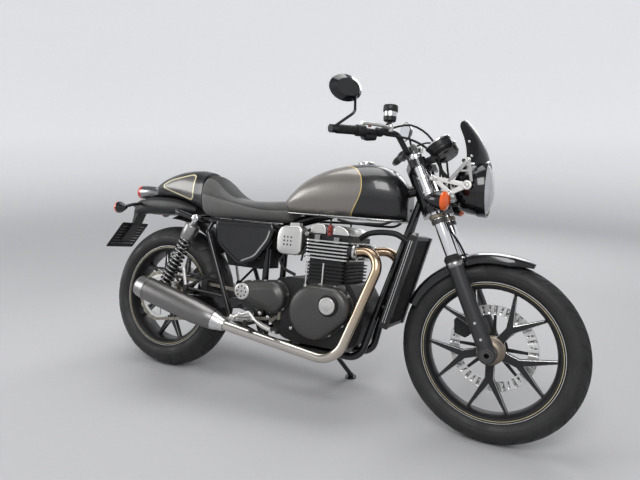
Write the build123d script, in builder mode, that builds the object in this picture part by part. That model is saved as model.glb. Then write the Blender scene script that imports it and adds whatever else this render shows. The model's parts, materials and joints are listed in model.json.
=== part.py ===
from build123d import *
import os
from math import acos, asin, atan2, cos, degrees, pi, radians, sin, sqrt, tan

# A cafe racer motorcycle with an upright parallel twin, parked on its side stand.
# It is drawn upright, in millimetres: X forward, Y to the left, Z up, from the floor below the rear axle.
# At the end the finished pieces lean over onto the stand, with the origin below the middle of the whole.

# Layout
WHEELBASE = 1435.0
RAKE = 24.3
FORK_OFFSET = 40.0
LEAN = 12.0
CLEAR = 0.3

# Tyres and wheels
FRONT_TYRE_RADIUS = 318.6
FRONT_TYRE_WIDTH = 100.0
FRONT_CROWN = 55.0
FRONT_RIM_RADIUS = 243.0
FRONT_RIM_WIDTH = 78.0
FRONT_HUB_RADIUS = 46.0
FRONT_HUB_WIDTH = 104.0
FRONT_DISC_RADIUS = 155.0
REAR_TYRE_RADIUS = 321.0
REAR_TYRE_WIDTH = 150.0
REAR_CROWN = 80.0
REAR_RIM_RADIUS = 229.0
REAR_RIM_WIDTH = 117.0
REAR_HUB_RADIUS = 56.0
REAR_HUB_WIDTH = 160.0
REAR_DISC_RADIUS = 127.5
RIM_LIP = 17.0
RIM_WALL = 9.0
FLANGE_WALL = 5.7
BEAD_DEPTH = 11.0
SPOKE_COUNT = 5
SPOKE_DEPTH = 24.0
SPOKE_WIDTH = 13.0
STEM_WIDTH = 40.0
SPOKE_FORK_RADIUS = 105.0
SPOKE_SPREAD = 18.0
DISC_WALL = 5.0
DISC_BAND = 36.0
DISC_BAR = 9.0

# Fork and yokes
FORK_SPACING = 195.0
FORK_TUBE_RADIUS = 20.5
LOWER_RADIUS = 28.0
LOWER_TOP = 625.0
AXLE_RADIUS = 12.5
AXLE_BORE = 8.5
AXLE_BOSS_RADIUS = 30.0
STEM_RADIUS = 14.0
HEAD_TUBE_RADIUS = 28.0
HEAD_TUBE_LOW = 800.0
HEAD_TUBE_HIGH = 938.0
YOKE_WALL = 28.0
YOKE_REACH = 32.0

# Bars
BAR_RADIUS = 11.0
BAR_END = (917.0, 370.0, 1041.0)
BAR_BEND = (1062.0, 125.0, 1074.0)
BAR_CLAMP = (1092.0, 48.0, 1012.0)
GRIP_RADIUS = 16.5
GRIP_LENGTH = 125.0

# Headlamp, dials and screen
LAMP_X = 1376.0
LAMP_RADIUS = 98.0
LAMP_DEPTH = 112.0
LAMP_CLAMP_DROP = 26.0
DIAL_RADIUS = 50.0
DIAL_DEPTH = 46.0
DIAL_SPACING = 116.0
DIAL_X = 1200.0
DIAL_Z = 1052.0
DIAL_TILT = 37.0

# Frame
TUBE_RADIUS = 14.0
BACKBONE_RADIUS = 22.0
DOWNTUBE_SPACING = 112.0
RAIL_SPACING = 190.0
RAIL_HEIGHT = 684.0
PIVOT_X = 520.0
PIVOT_Z = 350.0
PIVOT_RADIUS = 26.0
PIVOT_WIDTH = 118.0
PIVOT_SHAFT = 10.0
PLATE_WALL = 12.0

# Swingarm and drive
ARM_HEIGHT = 44.0
ARM_WIDTH = 24.0
ARM_SPACING = 252.0
CHAIN_Y = -103.0
CHAIN_WIDTH = 15.0
CHAIN_HEIGHT = 14.0
SPROCKET_WALL = 7.0
REAR_SPROCKET_RADIUS = 103.0
FRONT_SPROCKET_RADIUS = 40.0
FRONT_SPROCKET_X = 588.0

# Engine
CRANKCASE_WIDTH = 260.0
CRANKCASE_FRONT = 975.0
CRANKCASE_BACK = 648.0
CRANKCASE_TOP = 490.0
CRANKCASE_FLOOR = 240.0
GEARBOX_BACK = 562.0
CYLINDER_FRONT = 895.0
CYLINDER_BACK = 740.0
CYLINDER_WIDTH = 250.0
BARREL_TOP = 572.0
HEAD_TOP = 652.0
FIN_PITCH = 13.5
FIN_WALL = 5.0
FIN_REACH = 18.0
PORT_SPACING = 216.0
PORT_Z = 614.0
COVER_DEPTH = 72.0

# Exhaust
PIPE_RADIUS = 19.0
SILENCER_RADIUS = 50.0
SILENCER_TAIL = (-18.0, -232.0, 377.0)
PIPE_END = (395.0, -221.0, 283.0)

# Side stand
STAND_X = 735.0
STAND_Y = 132.0
STAND_Z = 214.0
STAND_FOOT = (828.0, 246.0, 47.0)
STAND_LEG_RADIUS = 10.0
STAND_AXIS = (0.14, 0.82, 0.56)

FRONT_AXLE = Vector(WHEELBASE, 0, FRONT_TYRE_RADIUS)
REAR_AXLE = Vector(0, 0, REAR_TYRE_RADIUS)
FORK_UP = Vector(-sin(radians(RAKE)), 0, cos(radians(RAKE)))
FORK_AHEAD = Vector(cos(radians(RAKE)), 0, sin(radians(RAKE)))
STEER_FOOT = FRONT_AXLE - FORK_AHEAD * FORK_OFFSET
PIECES = {}


def keep(builder, label):
    """Keep a finished piece under its name."""
    builder.part.label = label
    PIECES[label] = builder.part


def side(y):
    """The plane across the machine at y, seen from its right: x forward and y up."""
    return Plane.XZ.offset(-y)


def line_plane(start, end):
    """A plane with its x along the line from start to end."""
    along = (Vector(*end) - Vector(*start)).normalized()
    return Plane(origin=start, x_dir=along, z_dir=along.cross(Vector(0, 0, 1)).normalized())


def rod(start, end, radius, mode=Mode.ADD):
    """A round bar between two points."""
    run = Vector(*end) - Vector(*start)
    with BuildSketch(Plane(origin=start, z_dir=run)) as section:
        Circle(radius)
    extrude(section.sketch, amount=run.length, mode=mode)


def taper(start, end, outline):
    """A turned piece on the line from start to end, its outline given as (distance, radius) corners."""
    with BuildSketch(line_plane(start, end)) as section:
        Polygon(*outline, align=None)
    revolve(section.sketch, axis=Axis(start, Vector(*end) - Vector(*start)))


def tube(points, bends, radius, mode=Mode.ADD):
    """A round tube along the points, its corners bent to the radii."""
    with BuildLine() as run:
        FilletPolyline(*points, radius=bends)
    with BuildSketch(Plane(origin=run.line @ 0, z_dir=run.line % 0)) as section:
        Circle(radius)
    sweep(section.sketch, path=run.line, mode=mode)


def slab(y_from, y_to, outline, bend=0.0):
    """A flat piece across the machine between two y, its side view given as (x, z) corners."""
    with BuildSketch(side(max(y_from, y_to))) as face:
        Polygon(*outline, align=None)
        if bend:
            fillet(face.vertices(), bend)
    extrude(face.sketch, amount=abs(y_from - y_to))


def other_side(point):
    """The same point on the other side of the machine."""
    return (point[0], -point[1], point[2])


def on_steering(z):
    """The point of the steering axis at height z."""
    return STEER_FOOT + FORK_UP * ((z - STEER_FOOT.Z) / FORK_UP.Z)


def on_fork(z, y=0.0):
    """The point of a fork leg's line at height z."""
    return FRONT_AXLE + FORK_UP * ((z - FRONT_AXLE.Z) / FORK_UP.Z) + Vector(0, y, 0)


def tyre(axle, radius, width, crown, rim_radius, rim_width):
    """A tyre from its beads out, with a crowned tread."""
    shoulder_y = width / 2 - 2
    shoulder_r = radius - crown + sqrt(crown**2 - shoulder_y**2)
    bead_y = rim_width / 2 - FLANGE_WALL - CLEAR
    bead_r = rim_radius - BEAD_DEPTH + CLEAR
    heel_y = rim_width / 2 - 1
    heel_r = rim_radius + CLEAR
    bulge_r = (shoulder_r + heel_r) / 2
    with BuildPart() as piece:
        with BuildSketch(Plane(origin=axle, x_dir=(0, 1, 0), z_dir=(1, 0, 0))):
            with BuildLine():
                ThreePointArc((-shoulder_y, shoulder_r), (0, radius), (shoulder_y, shoulder_r))
                ThreePointArc((shoulder_y, shoulder_r), (width / 2, bulge_r), (heel_y, heel_r))
                Polyline((heel_y, heel_r), (bead_y, heel_r), (bead_y, bead_r), (-bead_y, bead_r),
                         (-bead_y, heel_r), (-heel_y, heel_r))
                ThreePointArc((-heel_y, heel_r), (-width / 2, bulge_r), (-shoulder_y, shoulder_r))
            make_face()
        revolve(axis=Axis(axle, (0, 1, 0)))
    return piece


def wheel(axle, rim_radius, rim_width, hub_radius, hub_width, first_spoke, carrier=0.0):
    """A cast wheel: rim, forked spokes and a bored hub, with a sprocket carrier on its right if it has one."""
    half = rim_width / 2
    barrel = rim_radius - BEAD_DEPTH
    inner = barrel - RIM_WALL
    lip = rim_radius - RIM_LIP
    face = Plane(origin=axle, x_dir=(1, 0, 0), z_dir=(0, -1, 0))
    arm_end = inner + RIM_WALL / 3
    far_x = arm_end * cos(radians(SPOKE_SPREAD))
    far_y = arm_end * sin(radians(SPOKE_SPREAD))
    near_x = SPOKE_FORK_RADIUS - SPOKE_WIDTH
    near_y = STEM_WIDTH / 2.6 - SPOKE_WIDTH / 2
    half_arm = SPOKE_WIDTH / 2
    with BuildPart() as piece:
        with BuildSketch(Plane(origin=axle, x_dir=(0, 1, 0), z_dir=(1, 0, 0))):
            Polygon((-half, rim_radius), (-half + FLANGE_WALL, rim_radius), (-half + FLANGE_WALL, barrel),
                    (half - FLANGE_WALL, barrel), (half - FLANGE_WALL, rim_radius), (half, rim_radius),
                    (half, lip), (half - RIM_LIP, inner), (-half + RIM_LIP, inner), (-half, lip), align=None)
        revolve(axis=Axis(axle, (0, 1, 0)))
        with BuildSketch(face.offset(-SPOKE_DEPTH / 2)):
            with PolarLocations(0, SPOKE_COUNT, start_angle=first_spoke):
                Polygon((0, -STEM_WIDTH / 2), (SPOKE_FORK_RADIUS, -STEM_WIDTH / 2.6),
                        (SPOKE_FORK_RADIUS, STEM_WIDTH / 2.6), (0, STEM_WIDTH / 2), align=None)
                Polygon((near_x, near_y - half_arm), (far_x, far_y - half_arm),
                        (far_x, far_y + half_arm), (near_x, near_y + half_arm), align=None)
                Polygon((near_x, -near_y - half_arm), (far_x, -far_y - half_arm),
                        (far_x, -far_y + half_arm), (near_x, -near_y + half_arm), align=None)
        extrude(amount=SPOKE_DEPTH)
        with BuildSketch(face.offset(-hub_width / 2)):
            Circle(hub_radius)
        extrude(amount=hub_width + carrier)
        with BuildSketch(face.offset(-hub_width / 2)):
            Circle(AXLE_RADIUS + CLEAR)
        extrude(amount=hub_width + carrier, mode=Mode.SUBTRACT)
    return piece


def rotor(axle, y, radius, wall, bore, windows):
    """A flat ring with a row of windows, on the wheel's side from y outwards."""
    window_at = (radius - DISC_BAND + bore) / 2 + 4
    window_size = (radius - DISC_BAND - bore) - 14
    window_width = 2 * (window_at - window_size / 2) * tan(pi / windows) - DISC_BAR
    with BuildPart() as piece:
        with BuildSketch(side(y)):
            with Locations((axle.X, axle.Z)):
                Circle(radius)
                Circle(bore, mode=Mode.SUBTRACT)
                with PolarLocations(window_at, windows):
                    RectangleRounded(window_size, window_width, 5, mode=Mode.SUBTRACT)
        extrude(amount=wall, dir=(0, 1 if y > 0 else -1, 0))
    return piece


def belt(near, near_radius, far, far_radius, mode=Mode.ADD):
    """The outline of a belt round two circles, as a face of the open sketch."""
    run = Vector(*far) - Vector(*near)
    lie = atan2(run.Y, run.X)
    part = acos((near_radius - far_radius) / run.length)

    def rim(centre, radius, angle):
        return (centre[0] + radius * cos(angle), centre[1] + radius * sin(angle))

    with BuildLine() as edge:
        Line(rim(near, near_radius, lie + part), rim(far, far_radius, lie + part))
        ThreePointArc(rim(far, far_radius, lie + part), rim(far, far_radius, lie),
                      rim(far, far_radius, lie - part))
        Line(rim(far, far_radius, lie - part), rim(near, near_radius, lie - part))
        ThreePointArc(rim(near, near_radius, lie - part), rim(near, near_radius, lie + pi),
                      rim(near, near_radius, lie + part))
    make_face(edge.line.edges(), mode=mode)


def shell_section(x, floor, half_floor, half_side, side_z, crown):
    """A section of tank, seat or cowl across the machine: flat floor, leaning sides and an arched top."""
    with BuildSketch(Plane(origin=(x, 0, 0), x_dir=(0, 1, 0), z_dir=(1, 0, 0))) as section:
        with BuildLine():
            Polyline((half_side, side_z), (half_floor, floor), (-half_floor, floor), (-half_side, side_z))
            ThreePointArc((-half_side, side_z), (0, crown), (half_side, side_z))
        make_face()
    return section.sketch


# Wheels
FRONT_SPOKE_ANGLE = -90
REAR_SPOKE_ANGLE = -90
HUB_FACE = FRONT_HUB_WIDTH / 2
REAR_HUB_FACE = REAR_HUB_WIDTH / 2
SPROCKET_Y = CHAIN_Y + SPROCKET_WALL / 2

keep(tyre(FRONT_AXLE, FRONT_TYRE_RADIUS, FRONT_TYRE_WIDTH, FRONT_CROWN, FRONT_RIM_RADIUS, FRONT_RIM_WIDTH),
     "front_tyre")
keep(tyre(REAR_AXLE, REAR_TYRE_RADIUS, REAR_TYRE_WIDTH, REAR_CROWN, REAR_RIM_RADIUS, REAR_RIM_WIDTH),
     "rear_tyre")
keep(wheel(FRONT_AXLE, FRONT_RIM_RADIUS, FRONT_RIM_WIDTH, FRONT_HUB_RADIUS, FRONT_HUB_WIDTH,
           FRONT_SPOKE_ANGLE), "front_wheel")
keep(rotor(FRONT_AXLE, HUB_FACE, FRONT_DISC_RADIUS, DISC_WALL, 32, 8), "front_disc")
keep(rotor(REAR_AXLE, REAR_HUB_FACE, REAR_DISC_RADIUS, DISC_WALL, 32, 8), "rear_disc")
keep(rotor(REAR_AXLE, SPROCKET_Y, REAR_SPROCKET_RADIUS - CHAIN_HEIGHT / 2 - CLEAR, SPROCKET_WALL, 32, 6),
     "rear_sprocket")
keep(wheel(REAR_AXLE, REAR_RIM_RADIUS, REAR_RIM_WIDTH, REAR_HUB_RADIUS, REAR_HUB_WIDTH,
           REAR_SPOKE_ANGLE, -SPROCKET_Y - REAR_HUB_FACE), "rear_wheel")

# Fork, yokes and axle
TOP_YOKE = on_steering(HEAD_TUBE_HIGH) + FORK_UP * CLEAR
LOW_YOKE = on_steering(HEAD_TUBE_LOW) - FORK_UP * (YOKE_WALL + CLEAR)
FORK_Y = FORK_SPACING / 2
TUBE_TOP = HEAD_TUBE_HIGH + YOKE_WALL + 26

with BuildPart() as fork_lowers:
    for y in (-FORK_Y, FORK_Y):
        rod(on_fork(FRONT_AXLE.Z, y), on_fork(LOWER_TOP, y), LOWER_RADIUS)
        rod(on_fork(LOWER_TOP - 22, y), on_fork(LOWER_TOP, y), LOWER_RADIUS + 2)
        rod((FRONT_AXLE.X, y - 26, FRONT_AXLE.Z), (FRONT_AXLE.X, y + 26, FRONT_AXLE.Z), AXLE_BOSS_RADIUS)
    rod((FRONT_AXLE.X, -FORK_Y - 28, FRONT_AXLE.Z), (FRONT_AXLE.X, FORK_Y + 28, FRONT_AXLE.Z), AXLE_RADIUS)
    for hand in (-1, 1):
        rod((FRONT_AXLE.X, hand * (HUB_FACE + DISC_WALL + CLEAR), FRONT_AXLE.Z),
            (FRONT_AXLE.X, hand * FORK_Y, FRONT_AXLE.Z), AXLE_RADIUS + 7)
    rod((FRONT_AXLE.X, -FORK_Y - 28, FRONT_AXLE.Z), (FRONT_AXLE.X, FORK_Y + 28, FRONT_AXLE.Z), AXLE_BORE,
        mode=Mode.SUBTRACT)
keep(fork_lowers, "fork_lowers")

with BuildPart() as fork_tubes:
    for y in (-FORK_Y, FORK_Y):
        rod(on_fork(LOWER_TOP, y) + FORK_UP * CLEAR, on_fork(TUBE_TOP, y), FORK_TUBE_RADIUS)
keep(fork_tubes, "fork_tubes")

with BuildPart() as yokes:
    for foot in (TOP_YOKE, LOW_YOKE):
        with BuildSketch(Plane(origin=foot, x_dir=FORK_AHEAD, z_dir=FORK_UP)):
            for y in (-FORK_Y, FORK_Y):
                belt((0, 0), YOKE_REACH - 3, (FORK_OFFSET, y), YOKE_REACH)
            with Locations((FORK_OFFSET, -FORK_Y), (FORK_OFFSET, FORK_Y)):
                Circle(FORK_TUBE_RADIUS + CLEAR, mode=Mode.SUBTRACT)
        extrude(amount=YOKE_WALL)
    rod(LOW_YOKE, TOP_YOKE + FORK_UP * YOKE_WALL, STEM_RADIUS)
    for hand in (-1, 1):
        clamp = Vector(BAR_CLAMP[0], hand * BAR_CLAMP[1], BAR_CLAMP[2])
        drop = (clamp - TOP_YOKE).dot(FORK_UP) - YOKE_WALL / 2
        rod(clamp - FORK_UP * drop, clamp, BAR_RADIUS + 5)
        rod((clamp.X, clamp.Y - 14, clamp.Z), (clamp.X, clamp.Y + 14, clamp.Z), BAR_RADIUS + 8)
        rod((clamp.X, clamp.Y - 18, clamp.Z), (clamp.X, clamp.Y + 18, clamp.Z), BAR_RADIUS + CLEAR,
            mode=Mode.SUBTRACT)
keep(yokes, "yokes")

# Bars
with BuildPart() as handlebar:
    tube([other_side(BAR_END), other_side(BAR_BEND), (BAR_CLAMP[0], -BAR_CLAMP[1] - 32, BAR_CLAMP[2]),
          (BAR_CLAMP[0], BAR_CLAMP[1] + 32, BAR_CLAMP[2]), BAR_BEND, BAR_END],
         [40, 26, 26, 40], BAR_RADIUS)
keep(handlebar, "handlebar")

GRIP_RUN = (Vector(*BAR_BEND) - Vector(*BAR_END)).normalized()
with BuildPart() as grips:
    for hand in (-1, 1):
        end = Vector(BAR_END[0], hand * BAR_END[1], BAR_END[2])
        run = Vector(GRIP_RUN.X, hand * GRIP_RUN.Y, GRIP_RUN.Z)
        rod(end, end + run * GRIP_LENGTH, GRIP_RADIUS)
        rod(end + run * (GRIP_LENGTH - 6), end + run * GRIP_LENGTH, GRIP_RADIUS + 3)
        rod(end - run, end + run * (GRIP_LENGTH + 1), BAR_RADIUS + CLEAR, mode=Mode.SUBTRACT)
keep(grips, "grips")

PERCH_AT = 168.0
RESERVOIR_RADIUS = 24.0
with BuildPart() as hand_controls:
    for hand in (-1, 1):
        end = Vector(BAR_END[0], hand * BAR_END[1], BAR_END[2])
        run = Vector(GRIP_RUN.X, hand * GRIP_RUN.Y, GRIP_RUN.Z)
        perch = end + run * PERCH_AT
        ahead = Vector(0.95, 0, 0.2)
        ahead = (ahead - run * ahead.dot(run)).normalized()
        pivot = perch + ahead * 34
        rod(perch - run * 14, perch + run * 14, BAR_RADIUS + 7)
        rod(end + run * (GRIP_LENGTH + CLEAR), perch, BAR_RADIUS + 6)
        rod(perch, pivot, 10)
        tube([pivot, pivot - run * 60 + ahead * 18, pivot - run * 175 + ahead * 8], [60], 5.5)
        if hand < 0:
            cup = perch + run * 8 + Vector(30, 0, 0)
            rod(perch + run * 6 + Vector(16, 0, 6), cup + Vector(0, 0, 44), 9)
            rod(cup + Vector(0, 0, 40), cup + Vector(0, 0, 92), RESERVOIR_RADIUS)
            rod(cup + Vector(0, 0, 92), cup + Vector(0, 0, 100), RESERVOIR_RADIUS + 3)
        rod(end + run * (GRIP_LENGTH - 4), perch + run * 24, BAR_RADIUS + CLEAR, mode=Mode.SUBTRACT)
keep(hand_controls, "hand_controls")

MIRROR_HEAD = (945.0, 380.0, 1182.0)
MIRROR_FACE = (-0.8, -0.6, 0.0)
with BuildPart() as mirrors:
    for hand in (-1, 1):
        end = Vector(BAR_END[0], hand * BAR_END[1], BAR_END[2])
        run = Vector(GRIP_RUN.X, hand * GRIP_RUN.Y, GRIP_RUN.Z)
        head = Vector(MIRROR_HEAD[0], hand * MIRROR_HEAD[1], MIRROR_HEAD[2])
        rod(end - run * CLEAR, end - run * 24, BAR_RADIUS + 4)
        tube([end - run * 18, Vector(985, hand * 376, 1097), Vector(972, hand * 352, 1162)], [22], 5)
        pane = Plane(origin=head, x_dir=(0.6, hand * -0.8, 0), z_dir=(MIRROR_FACE[0], hand * MIRROR_FACE[1], 0))
        with BuildSketch(pane) as glass:
            Ellipse(65, 47)
        with BuildSketch(pane.offset(-18)) as back:
            Ellipse(46, 30)
        extrude(glass.sketch, amount=4)
        loft([glass.sketch, back.sketch])
keep(mirrors, "mirrors")

# Headlamp, its brackets, the screen and the dials
LAMP_Z = (HEAD_TUBE_LOW + HEAD_TUBE_HIGH) / 2 + 23
LAMP_BACK = LAMP_X - LAMP_DEPTH
LENS_SEAT = LAMP_DEPTH - 12
LENS_RADIUS = LAMP_RADIUS - 10
LAMP_PIVOT = LAMP_X - 50
LAMP_ARM_Y = LAMP_RADIUS + 3

with BuildPart() as headlamp:
    taper((LAMP_BACK, 0, LAMP_Z), (LAMP_X, 0, LAMP_Z),
          [(0, 0), (2, 32), (22, 66), (56, 88), (90, LAMP_RADIUS - 4), (90, LAMP_RADIUS),
           (LAMP_DEPTH, LAMP_RADIUS), (LAMP_DEPTH, LENS_RADIUS), (LENS_SEAT, LENS_RADIUS), (LENS_SEAT, 0)])
    for hand in (-1, 1):
        rod((LAMP_PIVOT, hand * (LAMP_RADIUS - 20), LAMP_Z), (LAMP_PIVOT, hand * (LAMP_ARM_Y - CLEAR), LAMP_Z), 9)
keep(headlamp, "headlamp")

with BuildPart() as headlamp_lens:
    taper((LAMP_BACK, 0, LAMP_Z), (LAMP_X, 0, LAMP_Z),
          [(LENS_SEAT + CLEAR, 0), (LENS_SEAT + CLEAR, LENS_RADIUS - CLEAR),
           (LAMP_DEPTH - 2, LENS_RADIUS - CLEAR), (LAMP_DEPTH + 6, 58), (LAMP_DEPTH + 9, 28),
           (LAMP_DEPTH + 10, 0)])
keep(headlamp_lens, "headlamp_lens")

ARM_WALL = 6.0
ARM_CLAMPS = (LAMP_Z + LAMP_CLAMP_DROP, LAMP_Z - LAMP_CLAMP_DROP - 4)
with BuildPart() as headlamp_brackets:
    for hand in (-1, 1):
        y = hand * FORK_Y
        for z in ARM_CLAMPS:
            rod(on_fork(z - 13, y), on_fork(z + 13, y), FORK_TUBE_RADIUS + 6)
        inner_y = hand * LAMP_ARM_Y
        outer_y = hand * (LAMP_ARM_Y + ARM_WALL)
        rear = on_fork(ARM_CLAMPS[0])
        low = on_fork(ARM_CLAMPS[1])
        slab(inner_y, outer_y, [(rear.X + 4, rear.Z - 12), (rear.X, rear.Z + 12), (LAMP_PIVOT - 30, LAMP_Z + 33),
                                (LAMP_X - 12, LAMP_Z + 104), (LAMP_X - 4, LAMP_Z + 98), (LAMP_PIVOT + 14, LAMP_Z + 6),
                                (LAMP_PIVOT + 6, LAMP_Z - 14), (low.X + 8, low.Z - 12), (low.X + 4, low.Z + 10),
                                (LAMP_PIVOT - 46, LAMP_Z - 2)])
        rod(on_fork(ARM_CLAMPS[1] - 60, y), on_fork(ARM_CLAMPS[0] + 60, y), FORK_TUBE_RADIUS + CLEAR,
            mode=Mode.SUBTRACT)
keep(headlamp_brackets, "headlamp_brackets")

SCREEN_TOP = (LAMP_X - 74, LAMP_Z + 258)
SCREEN_FOOT = (LAMP_X + 12, LAMP_Z + 112)
SCREEN_WALL = 4.0
SCREEN_RADIUS = 150.0
with BuildPart() as fly_screen:
    rise = Vector(SCREEN_TOP[0] - SCREEN_FOOT[0], 0, SCREEN_TOP[1] - SCREEN_FOOT[1])
    ahead = Vector(rise.Z, 0, -rise.X).normalized()
    foot = Vector(SCREEN_FOOT[0], 0, SCREEN_FOOT[1])
    with BuildSketch(Plane(origin=foot - ahead * SCREEN_RADIUS, x_dir=ahead, z_dir=rise)):
        Circle(SCREEN_RADIUS)
        Circle(SCREEN_RADIUS - SCREEN_WALL, mode=Mode.SUBTRACT)
    extrude(amount=rise.length + 20)
    with BuildSketch(Plane(origin=foot + ahead * 20, x_dir=(0, 1, 0), z_dir=ahead)) as shape:
        Polygon((-92, 0), (-92, 30), (-52, rise.length), (52, rise.length), (92, 30), (92, 0), align=None)
        fillet(shape.vertices().group_by(Axis.Z)[-1], 26)
    extrude(amount=-130, mode=Mode.INTERSECT)
    for hand in (-1, 1):
        slab(hand * 86, hand * (LAMP_ARM_Y - CLEAR), [(LAMP_X - 27, LAMP_Z + 84), (LAMP_X - 12, LAMP_Z + 80),
                                                      (LAMP_X - 8, LAMP_Z + 96), (LAMP_X - 22, LAMP_Z + 114)])
keep(fly_screen, "fly_screen")

DIAL_FACE = Vector(-sin(radians(DIAL_TILT)), 0, cos(radians(DIAL_TILT)))
with BuildPart() as instruments:
    for hand in (-1, 1):
        face = Vector(DIAL_X, hand * DIAL_SPACING / 2, DIAL_Z)
        taper(face - DIAL_FACE * DIAL_DEPTH, face,
              [(0, 0), (0, DIAL_RADIUS * 0.7), (12, DIAL_RADIUS - 4), (DIAL_DEPTH - 8, DIAL_RADIUS - 3),
               (DIAL_DEPTH - 8, DIAL_RADIUS), (DIAL_DEPTH, DIAL_RADIUS), (DIAL_DEPTH, DIAL_RADIUS - 5),
               (DIAL_DEPTH - 4, DIAL_RADIUS - 5), (DIAL_DEPTH - 4, 0)])
    yoke_top = TOP_YOKE + FORK_UP * YOKE_WALL
    stay = yoke_top + FORK_AHEAD * FORK_OFFSET
    low = Vector(DIAL_X, 0, DIAL_Z) - DIAL_FACE * (DIAL_DEPTH + 2)
    slab(-DIAL_SPACING / 2, DIAL_SPACING / 2,
         [(stay.X - 22, stay.Z + CLEAR - 8), (stay.X + 16, stay.Z + CLEAR + 8),
          (low.X + 6, low.Z + 2), (low.X + 26, low.Z + 26), (low.X + 18, low.Z + 30), (low.X - 4, low.Z + 12)])
    add(yokes.part, mode=Mode.SUBTRACT)
keep(instruments, "instruments")

# Front brake and mudguard
CALIPER_GAP = 5.0
with BuildPart() as front_caliper:
    slab(HUB_FACE - 16, FORK_Y - 14, [(1296, 352), (1336, 340), (1352, 352), (1352, 396), (1338, 414),
                                      (1308, 420), (1292, 400)], 6)
    slab(FORK_Y - LOWER_RADIUS - 4, FORK_Y - LOWER_RADIUS + 6,
         [(1344, 356), (1400, 352), (1392, 392), (1344, 404)])
    with BuildSketch(side(HUB_FACE - CALIPER_GAP)):
        with Locations((FRONT_AXLE.X, FRONT_AXLE.Z)):
            Circle(FRONT_DISC_RADIUS + CALIPER_GAP)
    extrude(amount=-(DISC_WALL + 2 * CALIPER_GAP), mode=Mode.SUBTRACT)
    add(fork_lowers.part, mode=Mode.SUBTRACT)
keep(front_caliper, "front_caliper")

GUARD_WALL = 3.0
GUARD_CROWN = 334.0
GUARD_EDGE = 316.0
GUARD_WIDTH = 116.0
GUARD_FRONT = 68.0
GUARD_SWEEP = 89.0
with BuildPart() as front_mudguard:
    out = Vector(cos(radians(GUARD_FRONT)), 0, sin(radians(GUARD_FRONT)))
    half = GUARD_WIDTH / 2
    with BuildSketch(Plane(origin=FRONT_AXLE, x_dir=(0, 1, 0), z_dir=Vector(0, 1, 0).cross(out))):
        with BuildLine():
            ThreePointArc((-half, GUARD_EDGE), (0, GUARD_CROWN), (half, GUARD_EDGE))
            Line((half, GUARD_EDGE), (half - GUARD_WALL, GUARD_EDGE - 1))
            ThreePointArc((half - GUARD_WALL, GUARD_EDGE - 1), (0, GUARD_CROWN - GUARD_WALL),
                          (GUARD_WALL - half, GUARD_EDGE - 1))
            Line((GUARD_WALL - half, GUARD_EDGE - 1), (-half, GUARD_EDGE))
        make_face()
    revolve(axis=Axis(FRONT_AXLE, (0, -1, 0)), revolution_arc=GUARD_SWEEP)
    for hand in (-1, 1):
        for z in (592, 572):
            rod(on_fork(z, hand * (half - 2)), on_fork(z, hand * (FORK_Y - LOWER_RADIUS - CLEAR)), 5)
            rod(on_fork(z, hand * (half + 1)), on_fork(622, hand * (half + 1)), 4)
keep(front_mudguard, "front_mudguard")

# Front indicators
INDICATOR_Y = 172.0
with BuildPart() as front_indicators:
    for hand in (-1, 1):
        root = on_fork(826, hand * (FORK_Y + FORK_TUBE_RADIUS))
        head = Vector(1240, hand * INDICATOR_Y, 832)
        rod(on_fork(817, hand * FORK_Y), on_fork(835, hand * FORK_Y), FORK_TUBE_RADIUS + 5)
        rod(root, head, 6)
        taper(head - Vector(14, 0, 0), head + Vector(44, 0, 0),
              [(0, 0), (0, 9), (6, 12), (28, 23), (34, 24), (48, 18), (56, 9), (58, 0)])
        rod(on_fork(800, hand * FORK_Y), on_fork(850, hand * FORK_Y), FORK_TUBE_RADIUS + CLEAR,
            mode=Mode.SUBTRACT)
keep(front_indicators, "front_indicators")

# Frame
SHOCK_TOP = (195.0, 151.0, RAIL_HEIGHT + 4)
SHOCK_FOOT = (38.0, 151.0, 332.0)
SHOCK_PIN = 8.0
HANGER = (222.0, 205.0, 392.0)
HANGER_RADIUS = 12.0
PEG_ROOT = (424.0, 150.0, 290.0)
RADIATOR_FOOT = (1062.0, 350.0)
RADIATOR_TOP = (1152.0, 699.0)
RADIATOR_DEPTH = 26.0
DOWNTUBE_TOP = (1140.0, 0.0, 835.0)
DOWNTUBE_FOOT = (1000.0, 330.0)
CRADLE_Z = 213.0
STAND_PIVOT = Vector(STAND_X, STAND_Y, STAND_Z)
STAND_PIN = Vector(*STAND_AXIS).normalized()
STAND_PIN_RADIUS = 7.0
STAND_EYE = 6.0
RADIATOR_RISE = (Vector(RADIATOR_TOP[0], 0, RADIATOR_TOP[1])
                 - Vector(RADIATOR_FOOT[0], 0, RADIATOR_FOOT[1])).normalized()
RADIATOR_AHEAD = Vector(RADIATOR_RISE.Z, 0, -RADIATOR_RISE.X)


def radiator_back(height, y):
    """A point just behind the radiator's back face, height up along it from its foot."""
    foot = Vector(RADIATOR_FOOT[0], y, RADIATOR_FOOT[1])
    return foot + RADIATOR_RISE * height - RADIATOR_AHEAD * (RADIATOR_DEPTH / 2 + CLEAR)


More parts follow.
